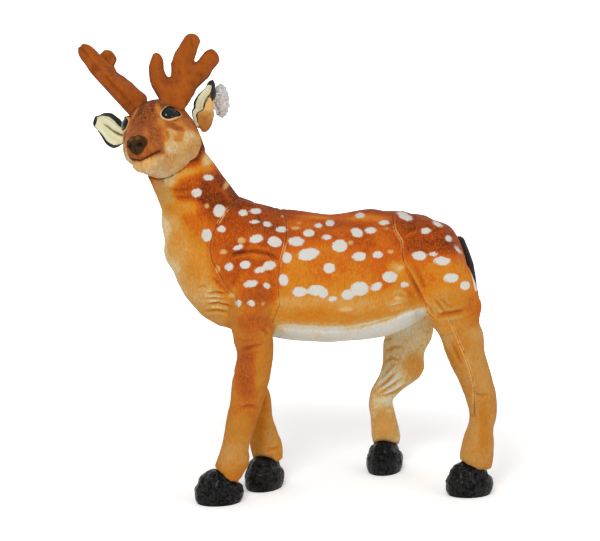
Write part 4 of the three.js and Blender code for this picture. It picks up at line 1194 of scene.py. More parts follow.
set_places(head_mesh, head_places + normals_of(head_mesh) * depth[:, None])
head_tree = BVHTree.FromPolygons([v.co for v in head_mesh.vertices],
                                 [p.vertices for p in head_mesh.polygons])
print("deepest dent", round(-float(depth.min()) / MM, 1), "mm")

# %% [markdown]
# The face is printed too: dark brow, rust bridge of the nose, cream cheek and chin. Its strokes are laid
# like the coat's, over one ground tone. The lids are painted by the same function, so that they match.

# %% Tones of the head
HEAD_STROKES = [
    (184, 142, 19, 21, 0, .22), (196, 122, 14, 10, 0, .66), (190, 108, 16, 10, 0, .82),
    (150, 100, 30, 12, 0, .86), (146, 122, 16, 18, 0, .84), (140, 142, 16, 12, 20, .8),
    (154, 146, 7, 6, 0, .7), (165, 126, 14, 5, -15, .74), (179, 136, 5, 10, -20, .56),
    (173, 148, 9, 7, 30, .22), (170, 133, 8, 5, -20, .36), (158, 109, 3, 6, 20, .5),
    (183, 106, 7, 3, -25, .45), (161, 122, 3, 7, 35, .62), (166, 134, 3, 6, 20, .6),
    (146, 132, 3, 8, 10, .66), (152, 106, 3, 8, -15, .92), (143, 118, 3, 9, 10, .9),
    (176, 127, 9, 3, -20, .85), (148, 166, 22, 8, 20, .3), (160, 160, 8, 5, 30, .26),
    (175, 162, 16, 8, 20, .34), (188, 158, 10, 7, 20, .28), (160, 176, 20, 8, 10, .2),
    (196, 150, 9, 12, 10, .36), (180, 172, 20, 6, -10, .3),
]
HEAD_GROUND, HEAD_BACK, HEAD_BACK_TONE, MOUTH_SHADE = 0.8, (0.045, 0.075), 0.66, 0.35
HEAD_RAMP = [(0.0, "#d3d0c8"), (0.12, "#d6c6a6"), (0.30, "#cfa263"), (0.50, "#c07c33"), (0.68, "#ab5e26"),
             (0.85, "#8f461a"), (1.0, "#552611")]


def paint_head(mesh, black=0.0):
    """Paints the head's tones, with one value of black for the whole mesh or one for each vertex."""
    points = places(mesh)
    pixels = to_pixels(folded_head(points))
    behind = rise(-((points - HEAD_MIDDLE) @ HEAD_FRONT), *HEAD_BACK)
    tone = brushed(np.full(len(points), HEAD_GROUND), pixels, HEAD_STROKES)
    mouth = (1 - rise(line_distance(pixels, MOUTH_LINE), 0.3, 1.6)) * MOUTH_SHADE
    paint(mesh, "tone", np.clip(tone + behind * (HEAD_BACK_TONE - tone) * 0.6 + mouth, 0, 1))
    paint(mesh, "black", np.broadcast_to(black, len(points)))


face = plush("face_plush", ramp=HEAD_RAMP, mottle=0.22, speckle=0.27, pile=1.1 * MM, felt=True)
paint_head(head_mesh)
head = piece("head_skin", head_mesh, face, "deer", "coat", "head", "chin")
print("head painted with", len(HEAD_STROKES), "strokes")

# %% [markdown]
# ## Eyes
# Each eye is a glossy black button with a brown depth to it. It is a turned shape: its outline is swept
# round its axis. `between_rings` fills the faces from ring to ring, and the tag uses it again.

# %% Turned shapes
def between_rings(bm, rings, sides):
    """Faces from each ring of vertices to the next. The first or last ring may be one vertex."""
    for low, high in zip(rings[:-1], rings[1:]):
        for i in range(sides):
            corners = (low[i % len(low)], low[(i + 1) % len(low)],
                       high[(i + 1) % len(high)], high[i % len(high)])
            unique = list(dict.fromkeys(corners))
            if len(unique) > 2:
                bm.faces.new(unique)


TURNED_SIDES = 56


def turned(name, profile, origin, axis):
    """A turned shape. Each row of the profile is a distance from the axis and one along it."""
    axis = unit(axis)
    first = unit(np.cross(axis, (0.3, 0.2, 0.9)))
    second = np.cross(axis, first)
    turns = [2 * math.pi * i / TURNED_SIDES for i in range(TURNED_SIDES)]
    mesh, rings = bpy.data.meshes.new(name), []
    with editing(mesh) as bm:
        for radius, along in profile:
            middle = origin + axis * along
            around = [math.cos(t) * first + math.sin(t) * second for t in turns] if radius else [0 * axis]
            rings.append([bm.verts.new(middle + radius * way) for way in around])
        between_rings(bm, rings, TURNED_SIDES)
        bmesh.ops.recalc_face_normals(bm, faces=bm.faces)
    return mesh


print("turned shapes ready")

# %% [markdown]
# The button's place and size are measured on the construction model's eye: its axis is the way in which
# it is least like the other two. The button looks a little forwards, and is sunk into the plush. Both
# eyes use the ways of the left one, mirrored for the right.

# %% Where the eyes look
def eye_frame(side):
    """The middle of an eye's rim, its axis, its radius, its dome's height and its shank's length."""
    points = places(nodes[f"eye_{side}"].data)
    spreads, turns = np.linalg.eigh(np.cov((points - points.mean(axis=0)).T))
    alone = 0 if spreads[2] - spreads[1] < spreads[1] - spreads[0] else 2
    axis = turns[:, alone] * np.sign(turns[:, alone] @ (points.mean(axis=0) - middle_of("head")))
    along = (points - points.mean(axis=0)) @ axis
    out = np.linalg.norm(points - points.mean(axis=0) - along[:, None] * axis, axis=1)
    rim = along[out > out.max() - 0.1 * MM].mean()
    return points.mean(axis=0) + rim * axis, axis, out.max(), along.max() - rim, rim - along.min()


EYE_FORWARD, EYE_SINK, EYE_SLANT = 0.42, 0.6 * MM, 0.02


def eye_plane(side):
    """The eye's frame turned a little forwards: middle, axis, the ways to its outer corner and upper
    lid, radius, dome and shank."""
    rim, axis, radius, dome, shank = eye_frame(side)
    axis = unit(axis + EYE_FORWARD * HEAD_FRONT)
    sided = mirrored if side == "right" else np.array
    left_axis = sided(axis)
    outer = np.cross(UP - EYE_SLANT * RIGHT, left_axis)
    outer = sided(unit(outer * np.sign(outer @ RIGHT)))
    outer = unit(outer - (outer @ axis) * axis)
    upper = sided(unit(np.cross(left_axis, RIGHT)))
    return rim - axis * EYE_SINK, axis, outer, upper * np.sign(upper[2]), radius, dome, shank


for side in SIDES:
    print(side, "eye looks to", [round(float(v), 2) for v in eye_plane(side)[1]])

# %% [markdown]
# The button has a dome, a flat back and a shank, which runs into the head.

# %% Eye buttons
button = Finish("eye_gloss", roughness=0.04, specular=0.24)
button.colour(button.mix(button.noise(0.02, detail=2).step(0.4, 0.8), "#040304", "#100906"))
DOME_STEPS, SHANK_RADIUS, BUTTON_BACK, BUTTON_EDGE = 16, 2.2 * MM, -1.5 * MM, 0.6 * MM
for side in SIDES:
    rim, axis, _, _, radius, dome, shank = eye_plane(side)
    turns = [math.pi / 2 * i / DOME_STEPS for i in range(DOME_STEPS)]
    profile = [(0, -shank * 0.8), (SHANK_RADIUS, -shank * 0.8), (SHANK_RADIUS, BUTTON_BACK),
               (radius - BUTTON_EDGE, BUTTON_BACK)]
    profile += [(radius * math.cos(t), dome * math.sin(t)) for t in turns] + [(0, dome)]
    mesh = turned("eye", profile, rim, axis)
    piece(f"eye_button_{side}", mesh, button.material, "deer", "eye", f"eye_{side}")
print("eye radius", round(radius / MM, 1), "mm, dome", round(dome / MM, 1), "mm")

# %% [markdown]
# ## Lids
# The lids are a plush fold round the button, edged with black felt that runs to a point at the outer
# corner, and pale next to the felt. The opening between them is an almond, given by its edge's distance
# at each angle.

# %% The opening between the lids
OPEN_OUT, OPEN_IN, OPEN_HIGH, OPEN_LOW, OPEN_POINT = 19.5 * MM, 14.6 * MM, 11.2 * MM, 11.4 * MM, 0.42
EYE_REACH = 26 * MM


def opening(turn):
    """The almond between the lids: how far its edge is at an angle from the outer corner."""
    across, high = math.cos(turn), math.sin(turn)
    wide = OPEN_OUT if across > 0 else OPEN_IN
    tall = (OPEN_HIGH if high > 0 else OPEN_LOW) * (1 - OPEN_POINT * max(across, 0) ** 1.5)
    return np.array([wide * across, tall * high])


def inside_opening(points, side):
    """Above 0 inside the almond and near it on the head, in metres from its edge."""
    rim, axis, outer, upper, *_ = eye_plane(side)
    lean = outer @ upper
    flat = np.stack([(points - rim) @ (outer - lean * upper), (points - rim) @ (upper - lean * outer)], 1)
    flat = flat / (1 - lean * lean)
    edge = np.array([np.linalg.norm(opening(t)) for t in np.arctan2(flat[:, 1], flat[:, 0])])
    near = np.linalg.norm(points - rim, axis=1) < EYE_REACH
    return np.where(near, edge - np.linalg.norm(flat, axis=1), -1.0)


print("openings", round((OPEN_OUT + OPEN_IN) / MM, 1), "by", round((OPEN_HIGH + OPEN_LOW) / MM, 1), "mm")

# %% [markdown]
# A lid runs in rings from the opening's edge, over the button, down to the head's skin. Each point takes
# the higher of the two surfaces below it, raised by a soft fold. The first ring is turned in and the last
# one sunk into the skin, so that no edge shows.

# %% The lids' mesh
def ring_faces(rings, sides):
    """Faces between numbered rings of points, each ring with the same number of sides."""
    return [(r + i, r + (i + 1) % sides, r + sides + (i + 1) % sides, r + sides + i)
            for r in range(0, (rings - 1) * sides, sides) for i in range(sides)]


LID_SIDES, LID_ROWS, LID_WIDTH, LID_FOLD, LID_TUCK = 72, 12, 8 * MM, 1.3 * MM, 0.9 * MM


def lid_mesh(side):
    """A plush fold from over the button's edge down to the head, with an almond opening."""
    rim, axis, outer, upper, radius, dome, _ = eye_plane(side)
    corners, blacks = [], []
    for row in range(LID_ROWS + 1):
        share = row / LID_ROWS
        for step in range(LID_SIDES):
            turn = 2 * math.pi * step / LID_SIDES
            spot = opening(turn)
            spot = spot * (1 + (share * LID_WIDTH - 0.6 * MM) / np.linalg.norm(spot))
            flat = rim + outer * spot[0] + upper * spot[1]
            over = min(np.linalg.norm(flat - rim) / radius, 1)
            on_dome = dome * math.sqrt(1 - over * over) if over < 1 else -1.0
            hit = head_tree.ray_cast(Vector(flat + axis * 0.03), Vector(-axis), 0.09)[0]
            on_head = (np.array(hit) - rim) @ axis if hit else -6 * MM
            lift = LID_FOLD * math.sin(math.pi * min(share * 1.1 + 0.1, 1)) * (1.2 + 0.5 * math.sin(turn))
            height = max(on_dome, on_head) + lift - (LID_TUCK if row == 0 else 0)
            if row == LID_ROWS:
                height = on_head - LID_TUCK
            corners.append(flat + axis * height)
            blacks.append(1 - float(rise(np.array(share - 0.07 * math.sin(turn)), 0.26, 0.40)))
    mesh = bpy.data.meshes.new(f"lid_{side}")
    mesh.from_pydata([tuple(c) for c in corners], [], ring_faces(LID_ROWS + 1, LID_SIDES))
    points, edges = places(mesh), edges_of(mesh)
    inner_rows = (np.arange(len(points)) >= LID_SIDES) & (np.arange(len(points)) < LID_ROWS * LID_SIDES)
    for _ in range(2):
        points[inner_rows] += 0.5 * (neighbour_mean(points, edges) - points)[inner_rows]
    set_places(mesh, points)
    if (normals_of(mesh) @ axis).mean() < 0:
        mesh.flip_normals()
    paint_head(mesh, np.array(blacks))
    tone = np.array([v.value for v in mesh.attributes["tone"].data])
    ring = np.repeat(np.arange(LID_ROWS + 1) / LID_ROWS, LID_SIDES)
    pale_ring = rise(ring, 0.2, 0.36) * (1 - rise(ring, 0.45, 0.75))
    paint(mesh, "tone", tone + pale_ring * (0.1 - tone) * 0.85)
    return mesh


for side in SIDES:
    piece(f"lid_{side}", lid_mesh(side), face, "deer", "coat")
dark = [rise(inside_opening(places(head_mesh), side), -1.0 * MM, 0.6 * MM) for side in SIDES]
paint(head_mesh, "black", np.max(dark, axis=0))

# %% [markdown]
# ## Nose and mouth
# The nose is a stuffed heart of dark plush with a dent for each nostril. It is draped on the muzzle:
# rings of points are dropped on the head's skin, raised in the middle, and closed behind.

# %% The nose's outline
NOSE_RINGS, NOSE_TURNS, NOSE_THICK, NOSE_HEM, NOSE_BACK = 26, 72, 7.5 * MM, 1.5 * MM, 6 * MM
NOSE_PIXEL, NOSE_WIDE, NOSE_UP, NOSE_DOWN = (137.6, 143.5), 18.5 * MM, 14.5 * MM, 18.5 * MM


def nose_outline(turn):
    """How far the heart's edge is from its middle, sideways and down. A turn of 0 is the deer's left."""
    side, down = math.cos(turn), math.sin(turn)
    narrow = 1 - 0.42 * max(down, 0) ** 1.2
    dip = 1 - 0.12 * math.exp(-(side / 0.3) ** 2) * (down < 0)
    return np.array([NOSE_WIDE * side * narrow, (NOSE_DOWN if down > 0 else NOSE_UP) * down * dip])


NOSE_AIM = unit(HEAD_FRONT + 0.5 * HEAD_TOP)
NOSE_RISE = unit(HEAD_TOP - (HEAD_TOP @ NOSE_AIM) * NOSE_AIM)
nose_start = on_skin(NOSE_PIXEL, head_tree, 0.0)
nose_start = nose_start - ((nose_start - HEAD_MIDDLE) @ HEAD_LEFT) * HEAD_LEFT
print("the nose starts", (nose_start / MM).round(1), "mm from the origin")

# %% [markdown]
# The heart is narrow below and dips at the top. Its inner rings rise over the skin like a cushion, and
# the outermost is tucked below it.

# %% Drape the nose
corners, shape = [], []
for ring in range(1, NOSE_RINGS + 1):
    share = ring / NOSE_RINGS
    for step in range(NOSE_TURNS):
        turn = 2 * math.pi * step / NOSE_TURNS
        side, down = nose_outline(turn) * share * (1 + 0.02 * math.sin(9 * turn) * share)
        flat = nose_start + side * HEAD_LEFT - down * NOSE_RISE
        hit = head_tree.ray_cast(Vector(flat + NOSE_AIM * 0.05), Vector(-NOSE_AIM), 0.12)[0]
        ground = (np.array(hit) - flat) @ NOSE_AIM if hit else corners[-1][3]
        height = ground + NOSE_THICK * math.sqrt(1 - share ** 2.6) - NOSE_HEM * (ring == NOSE_RINGS)
        corners.append((*(flat + NOSE_AIM * height), ground))
        shape.append((side, down, share))
faces = ring_faces(NOSE_RINGS, NOSE_TURNS) + [tuple(range(NOSE_TURNS))]
rim_start = (NOSE_RINGS - 1) * NOSE_TURNS
rim = np.array([c[:3] for c in corners[rim_start:]])
behind = rim.mean(axis=0) - NOSE_AIM * NOSE_BACK
corners.append((*behind, 0))
shape.append((0, 0, 1))
faces += [(rim_start + i, len(corners) - 1, rim_start + (i + 1) % NOSE_TURNS) for i in range(NOSE_TURNS)]
nose_mesh = bpy.data.meshes.new("nose_pad")
nose_mesh.from_pydata([tuple(map(float, c[:3])) for c in corners], [], faces)
with editing(nose_mesh) as bm:
    bmesh.ops.triangulate(bm, faces=[f for f in bm.faces if len(f.verts) > 4])
    bmesh.ops.recalc_face_normals(bm, faces=bm.faces)
print("nose:", len(nose_mesh.vertices), "vertices")

# %% [markdown]
# Each nostril is sunk, the ball above it is raised, and a groove runs down between them. The nostrils
# get painted shade, the darkest tone, and the balls a painted highlight.

# %% Nostrils and the nose's plush
NOSTRIL, BALL = (8 * MM, 2 * MM, 4.2 * MM, 3.2 * MM), (6 * MM, -8 * MM, 5 * MM, 3.4 * MM)
NOSTRIL_DEPTH, BALL_HEIGHT, PARTING_DEPTH, PARTING_WIDTH = 2.4 * MM, 1.6 * MM, 1.8 * MM, 1.6 * MM
NOSE_RAMP = [(0.0, "#936438"), (0.3, "#66441f"), (0.6, "#3f2814"), (1.0, "#1b110a")]
side, down, share = np.array(shape).T
nostril, ball = [np.hypot((np.abs(side) - out) / wide, (down - low) / high)
                 for out, low, wide, high in (NOSTRIL, BALL)]
lift = BALL_HEIGHT * (1 - rise(ball, 0.2, 1.3)) - NOSTRIL_DEPTH * (1 - rise(nostril, 0.3, 1.2))
parting = np.exp(-((side / PARTING_WIDTH) ** 2)) * rise(down, -4 * MM, 4 * MM) * (share < 0.97)
lift = (lift - PARTING_DEPTH * parting) * (share < 0.99)
set_places(nose_mesh, places(nose_mesh) + lift[:, None] * NOSE_AIM)
# Painted shade in the nostrils and a painted highlight on the balls; the hem is paler.
nose_tone = 0.62 + 0.4 * (1 - rise(nostril, 0.4, 1.5)) - 0.42 * (1 - rise(ball, 0.3, 1.3))
paint(nose_mesh, "tone", np.clip(nose_tone - 0.3 * rise(share, 0.9, 1.0), 0, 1))
nose_plush = plush("nose_plush", ramp=NOSE_RAMP, mottle=0.4, speckle=0.3, pile=0.9 * MM, glints=0.08)
nose = piece("nose_pad", nose_mesh, nose_plush, "deer", "dark", "nose")
print("nose tone from", round(float(nose_tone.min()), 2), "to", round(float(nose_tone.max()), 2))

# %% [markdown]
# ## Stitches
# The mouth is one line of black stitches. Geometry Nodes repeat the stitch along a curve, because equal
# stitches are a rule: a change of step or thread needs no new drawing.

# %% Stitches along a line, by Geometry Nodes
def stitch_tree(name):
    """Geometry Nodes that lay one rounded stitch at each step along a curve."""
    tree = bpy.data.node_groups.new(name, "GeometryNodeTree")
    for label, kind in (("Curve", "NodeSocketGeometry"), ("Step", "NodeSocketFloat"),
                        ("Thread", "NodeSocketFloat"), ("Share", "NodeSocketFloat"),
                        ("Finish", "NodeSocketMaterial")):
        tree.interface.new_socket(label, in_out="INPUT", socket_type=kind)
    tree.interface.new_socket("Mesh", in_out="OUTPUT", socket_type="NodeSocketGeometry")
    given, points, ball, half, size, turn, lay, real, coloured, out = (
        tree.nodes.new(kind) for kind in
        ("NodeGroupInput", "GeometryNodeCurveToPoints", "GeometryNodeMeshUVSphere", "ShaderNodeMath",
         "ShaderNodeCombineXYZ", "FunctionNodeAlignRotationToVector", "GeometryNodeInstanceOnPoints",
         "GeometryNodeRealizeInstances", "GeometryNodeSetMaterial", "NodeGroupOutput"))
    points.mode, half.operation, turn.axis = "LENGTH", "MULTIPLY", "Z"
    for label, value in (("Segments", 8), ("Rings", 6), ("Radius", 1.0)):
        ball.inputs[label].default_value = value
    wire(tree,
         (given, "Curve", points, "Curve"), (given, "Step", points, "Length"),
         (given, "Step", half, 0), (given, "Share", half, 1),
         (given, "Thread", size, "X"), (given, "Thread", size, "Y"), (half, 0, size, "Z"),
         (points, "Tangent", turn, "Vector"), (points, "Points", lay, "Points"),
         (ball, "Mesh", lay, "Instance"), (turn, "Rotation", lay, "Rotation"),
         (size, "Vector", lay, "Scale"), (lay, "Instances", real, "Geometry"),
         (real, "Geometry", coloured, "Geometry"), (given, "Finish", coloured, "Material"),
         (coloured, "Geometry", out, "Mesh"))
    return tree


STITCHES = stitch_tree("stitches")
print("stitches take", [item.name for item in STITCHES.interface.items_tree if item.in_out == "INPUT"])

# %% [markdown]
# `stitched` lays the stitches on lines of points and keeps the result as a plain mesh. `between` spaces
# the points of a line evenly first.

# %% Lay the stitches
def stitched(name, lines, step, thread, share, material):
    """Stitches along lines of points, as a plain mesh."""
    curve = bpy.data.curves.new(name, "CURVE")
    curve.dimensions = "3D"
    for line in lines:
        spline = curve.splines.new("POLY")
        spline.points.add(len(line) - 1)
        for point, where in zip(spline.points, line):
            point.co = (*where, 1)
    laid = link(name + "_line", curve)
    modifier = laid.modifiers.new("stitches", "NODES")
    modifier.node_group = STITCHES
    given = {"Step": step, "Thread": thread, "Share": share, "Finish": material}
    for item in STITCHES.interface.items_tree:
        if item.in_out == "INPUT" and item.name in given:
            modifier[item.identifier] = given[item.name]
    mesh = evaluated_mesh(laid)
    bpy.data.objects.remove(laid)
    return mesh


def between(line, count):
    """Evenly spaced points along a line of points."""
    line = np.array(line, float)
    runs = np.concatenate([[0], np.cumsum(np.linalg.norm(np.diff(line, axis=0), axis=1))])
    wanted = np.linspace(0, runs[-1], count)
    return np.stack([np.interp(wanted, runs, line[:, axis]) for axis in range(line.shape[1])], 1)


print("ready to sew")

# %% [markdown]
# The near half of the mouth is found on the head's skin under the line seen in the picture. The far half
# is its mirror image.

# %% The mouth
STITCH_STEP, THREAD, STITCH_SHARE = 3.4 * MM, 0.75 * MM, 0.46
thread = Finish("black_thread", roughness=0.6, specular=0.3)
thread.colour(thread.mix(thread.noise(0.0012).step(0.35, 0.65), "#0d0b0a", "#241d1a"))
near_mouth = [on_skin(p, head_tree, 0.2 * MM) for p in between(MOUTH_LINE, 24)]
near_mouth = np.array([p for p in near_mouth if p is not None])
near_mouth = near_mouth[(near_mouth - HEAD_MIDDLE) @ HEAD_LEFT > 0]
near_mouth[0] -= ((near_mouth[0] - HEAD_MIDDLE) @ HEAD_LEFT) * HEAD_LEFT
far_mouth = HEAD_MIDDLE + mirrored(near_mouth - HEAD_MIDDLE)
mouth_lines = [near_mouth, far_mouth]
mouth = stitched("mouth_stitches", mouth_lines, STITCH_STEP, THREAD, STITCH_SHARE, thread.material)
piece("mouth_stitches", mouth, thread.material, "deer", "velvet")
print("mouth:", len(mouth.polygons), "faces")

# %% [markdown]
# ## Antlers
# The antlers are flat shapes of rust brown velour, cut twice, sewn round the outline, turned and
# stuffed hard. Velour is a cloth with a very short nap, so it is cloudy and streaky, with little shine.

# %% Velour
VELOUR_RAMP = [(0.0, "#4a200b"), (0.35, "#7f3c0e"), (0.6, "#9b4f16"), (1.0, "#bb6f30")]
velour = Finish("antler_velour", roughness=0.92, specular=0.08, sheen=0.05, sheen_roughness=0.5)
nap = velour.noise(0.0009, detail=2, roughness=0.7)
cloudy = velour.noise(0.022, detail=4, roughness=0.6)
streaks = velour.noise(0.008, detail=3, stretch=(1.4, 1.0, 0.45))
velour_shade = velour.painted("tone") + (cloudy - 0.5) * 0.7 + (streaks - 0.5) * 0.4 + (nap - 0.5) * 0.35
velour.colour(velour.ramp(velour_shade, VELOUR_RAMP))
velour.relief(nap * 0.7 + streaks * 0.3, depth=0.7 * MM, strength=0.5)
print("velour ready")

# %% [markdown]
# The seam runs round the whole outline, where the surface stands square to the flat of the antler. That
# flat is found from the antler's own points, as the way in which they spread least.

# %% Antlers
ANTLER_PULLS = {
    "left": [
        (169.5, 70, 8, 3, 0), (166, 76, 9, 3, 5), (190, 40, 12, 2.5, -1), (208, 52, 16, 0, -4.5),
        (200, 60, 10, 1, -2.5), (214, 66, 12, -2, -2), (150, 66, 9, -1, -1), (157, 56, 10, -1, -3),
        (178, 55, 9, -1.5, 0), (191, 98, 12, 2.5, 0)],
    "right": [
        (84, 50, 14, -3, -4), (84, 62, 12, 0.5, -1.5), (122, 68, 12, -6.5, 1), (134, 84, 11, 3, -1),
        (142, 94, 14, 6.5, -2), (128, 90, 12, 0.5, -1)],
}
ANTLER_SEAM, ANTLER_EDGE, ANTLER_TONE = 1.2 * MM, 0.4 * MM, 0.54


def antler(side):
    """One finished antler, with painted shade in its seam and a painted highlight beside it. It tells its
    number of vertices.
    """
    name = f"antler_{side}"
    mesh = one_skin(name, [name], grow=0.6 * MM, cell=2.4 * MM, rounds=7)
    set_places(mesh, pulled(places(mesh), to_pixels(places(mesh)), ANTLER_PULLS[side]))
    points, normals = places(mesh), normals_of(mesh)
    _, turns = np.linalg.eigh(np.cov((points - points.mean(axis=0)).T))
    square = np.abs(normals @ turns[:, 0])
    edge = np.exp(-((square / 0.16) ** 2))
    beside = np.exp(-(((square - 0.42) / 0.16) ** 2))
    set_places(mesh, points + normals * (beside * ANTLER_EDGE - edge * ANTLER_SEAM)[:, None])
    # Painted shade along the seam, and a painted highlight on the edges beside it.
    paint(mesh, "tone", np.clip(ANTLER_TONE - 0.13 * edge + 0.06 * beside, 0, 1))
    skin = piece(f"{name}_skin", mesh, velour.material, "deer", "velvet", name)
    return len(mesh.vertices)


print("antlers:", [antler(side) for side in SIDES], "vertices")

# %% [markdown]
# ## Ears
# Each ear is a leaf of two layers: plush outside, tan with a broad black edge, and a cream cotton
# lining inside. One finish draws them all, and what was painted on the mesh says which one shows.

# %% Ear cloth
EAR_RAMP = [(0.0, "#d6cdb4"), (0.30, "#cfa263"), (0.50, "#b5803f"), (0.70, "#9c5f27"), (1.0, "#6b3413")]
ear_cloth = Finish("ear_plush", roughness=0.9, specular=0.12, sheen=0.15, sheen_roughness=0.5)
ear_fine = ear_cloth.noise(0.0016, detail=2, roughness=0.7)
ear_broad = ear_cloth.noise(0.012, detail=3)
ear_shade = ear_cloth.painted("tone") + (ear_broad - 0.5) * 0.25 + (ear_fine - 0.5) * 0.2
ear_tan = ear_cloth.ramp(ear_shade, EAR_RAMP)
# The lining's creases carry painted shade, which darkens the cream ramp.
crease = ear_cloth.painted("crease") + (ear_broad - 0.5) * 0.3
CREAM_RAMP = [(0.0, "#e2dfc0"), (0.40, "#d6d0a4"), (0.75, "#8f8458"), (1.0, "#4c4428")]
ear_cream = ear_cloth.ramp(crease + (ear_fine - 0.5) * 0.2, CREAM_RAMP)
ear_black = ear_cloth.mix(ear_fine.step(0.3, 0.75), "#191714", "#3a352f")
ragged = (ear_fine - 0.5) * 0.35
colour = ear_cloth.mix((ear_cloth.painted("lining") + ragged).step(0.4, 0.6), ear_tan, ear_cream)
colour = ear_cloth.mix((ear_cloth.painted("black") + ragged).step(0.4, 0.6), colour, ear_black)
ear_cloth.colour(colour)
ear_cloth.relief(ear_fine, depth=0.8 * MM, strength=0.5)
print("ear cloth ready")

# %% [markdown]
# Each ear is painted and shaped in its own frame, taken from its joint: the way to its inside, the way
# along its hinge, and the way to its tip. Behind the root lies a stuffed pouch, which shows as a tan
# lobe below the left ear. The right ear's pouch is its mirror image.

# %% The ears' frames and the pouch
JOINTS = {j["name"]: j for j in frame["joints"]}
POUCH_RIGHT, POUCH_UP, POUCH_BACK = 5.0 * MM, 4.0 * MM, 7.0 * MM
POUCH_SIZES, EAR_CELL = (10 * MM, 13 * MM, 19 * MM), 1.25 * MM


def hinge(name):
    """A joint's place and axis."""
    joint = JOINTS[name]
    return np.array(joint["pos_m"], float), unit(joint["axis"])


def ear_frame(side):
    """The ear's root, and the ways to its inside, along its hinge and to its tip."""
    root, across = hinge(f"ear_{side}_fold")
    points = places(nodes[f"ear_{side}"].data)
    tip = points[np.argmax(np.linalg.norm(points - root, axis=1))] - root
    up = unit(tip - (tip @ across) * across)
    return root, np.array([-np.cross(across, up), across, up])


def with_pouch(mesh, middle, ways):
    """The mesh and its rounded pouch as one skin."""
    place = Matrix(ways.T.tolist()).to_4x4()
    place.translation = Vector(middle)
    stretch = Matrix.Diagonal((*POUCH_SIZES, 1.0))
    with editing(mesh) as bm:
        bmesh.ops.create_icosphere(bm, subdivisions=4, radius=1.0, matrix=place @ stretch)
    return melted(mesh, EAR_CELL, 8)


_, left_ways = ear_frame("left")
POUCH_PLACE = left_ways @ (RIGHT * POUCH_RIGHT + UP * POUCH_UP) - np.array([POUCH_BACK, 0, 0])
print("the ear's pouch lies", (POUCH_PLACE / MM).round(1), "mm from its hinge")

# %% [markdown]
# An ear leaves its flat construction shape in two steps: it twists about its length, more towards its
# tip, and is then pulled to the outline that shows in the picture.

# %% Shape an ear
EAR_PULLS = {
    "left": [(199, 100, 14, -2.5, 0), (196, 116, 10, -3, -3), (212, 92, 12, 1.5, 0), (210, 112, 9, 2, -1)],
    "right": [(113, 140, 15, 0, 4.5), (106, 118, 13, 0, -2), (98, 124, 8, -1, 0)],
}
EAR_TWIST = {"left": math.radians(-14), "right": math.radians(-3)}
TWIST_FROM, TWIST_FULL = 4 * MM, 30 * MM


def ear_shape(side, root, ways, local):
    """Where the ear's points go when it is twisted and pulled."""
    turn = EAR_TWIST[side] * rise(local[:, 2], TWIST_FROM, TWIST_FULL)
    twisted = local.copy()
    twisted[:, 0] = local[:, 0] * np.cos(turn) - local[:, 1] * np.sin(turn)
    twisted[:, 1] = local[:, 0] * np.sin(turn) + local[:, 1] * np.cos(turn)
    points = root + twisted @ ways
    return pulled(points, to_pixels(points), EAR_PULLS[side])


print("ears twist by", {side: round(math.degrees(turn)) for side, turn in EAR_TWIST.items()}, "degrees")

# %% [markdown]
# What is painted on an ear: where the lining is, where the cloth is black, how much painted shade lies in
# the creases of the lining, and the tan's tone. The lining is pleated at the root, so that the ear cups.
# The black border tapers towards the root, on the right ear much less than on the left.

# %% Paint an ear
EAR_TAPER, EAR_ROWS = {"left": 0.62, "right": 0.12}, 24
PLEAT_PLACE, PLEAT_WIDTH, PLEAT_DEPTH, SMALL_STEP, SMALL_DEPTH = (n * MM for n in (1.0, 1.6, 1.5, 1.5, 0.5))


def paint_ear(mesh, side, local, normals, inner):
    """Paints the ear's cloth, and tells how far each point is carved."""
    length = local[:, 2].max()
    height = np.clip(local[:, 2] / length, 0, 1)
    lining_tree, _ = tree_of(f"ear_lining_{side}")
    gap = np.array([lining_tree.find_nearest(v.co)[3] for v in mesh.vertices])
    lining = (1 - rise(gap, 0.8 * MM, 2.0 * MM)) * rise(normals @ inner, -0.2, 0.15)
    rows = np.round(height * EAR_ROWS).astype(int)
    leaf = gap < 4 * MM
    half_width = np.ones(EAR_ROWS + 2)
    for row in np.unique(rows[leaf]):
        half_width[row] = np.abs(local[(rows == row) & leaf, 1]).max()
    edge = np.abs(local[:, 1]) / np.maximum(half_width[rows], 4 * MM)
    border = np.maximum(rise(edge, 0.66, 0.76), rise(height, 0.84, 0.92))
    tapering = edge - 0.62 - EAR_TAPER[side] * rise(-height, -0.9, -0.2)
    outside = np.maximum(rise(tapering, -0.03, 0.07), rise(height, 0.78, 0.88))
    pleat = np.exp(-((local[:, 1] - PLEAT_PLACE) / PLEAT_WIDTH) ** 2) * (1 - rise(height, 0.55, 0.8))
    small = 0.5 + 0.5 * np.cos(local[:, 1] / SMALL_STEP + 3 * height)
    paint(mesh, "lining", lining * (1 - border))
    paint(mesh, "black", np.where(lining > 0.5, border, outside * (1 - lining)))
    # Painted shade in the lining's pleat and small creases.
    paint(mesh, "crease", np.clip(0.12 + 0.75 * pleat + 0.35 * small * (1 - height), 0, 1))
    paint(mesh, "tone", 0.68 - 0.36 * rise(height, 0.0, 0.3))
    return lining * (-PLEAT_DEPTH * pleat - SMALL_DEPTH * small * (1 - height))


print("the borders taper by", EAR_TAPER)

# %% [markdown]
# The root is sewn to the head. Each ear is one skin over its cloth, its lining and its pouch; it is painted
# and carved, then twisted and pulled into shape.

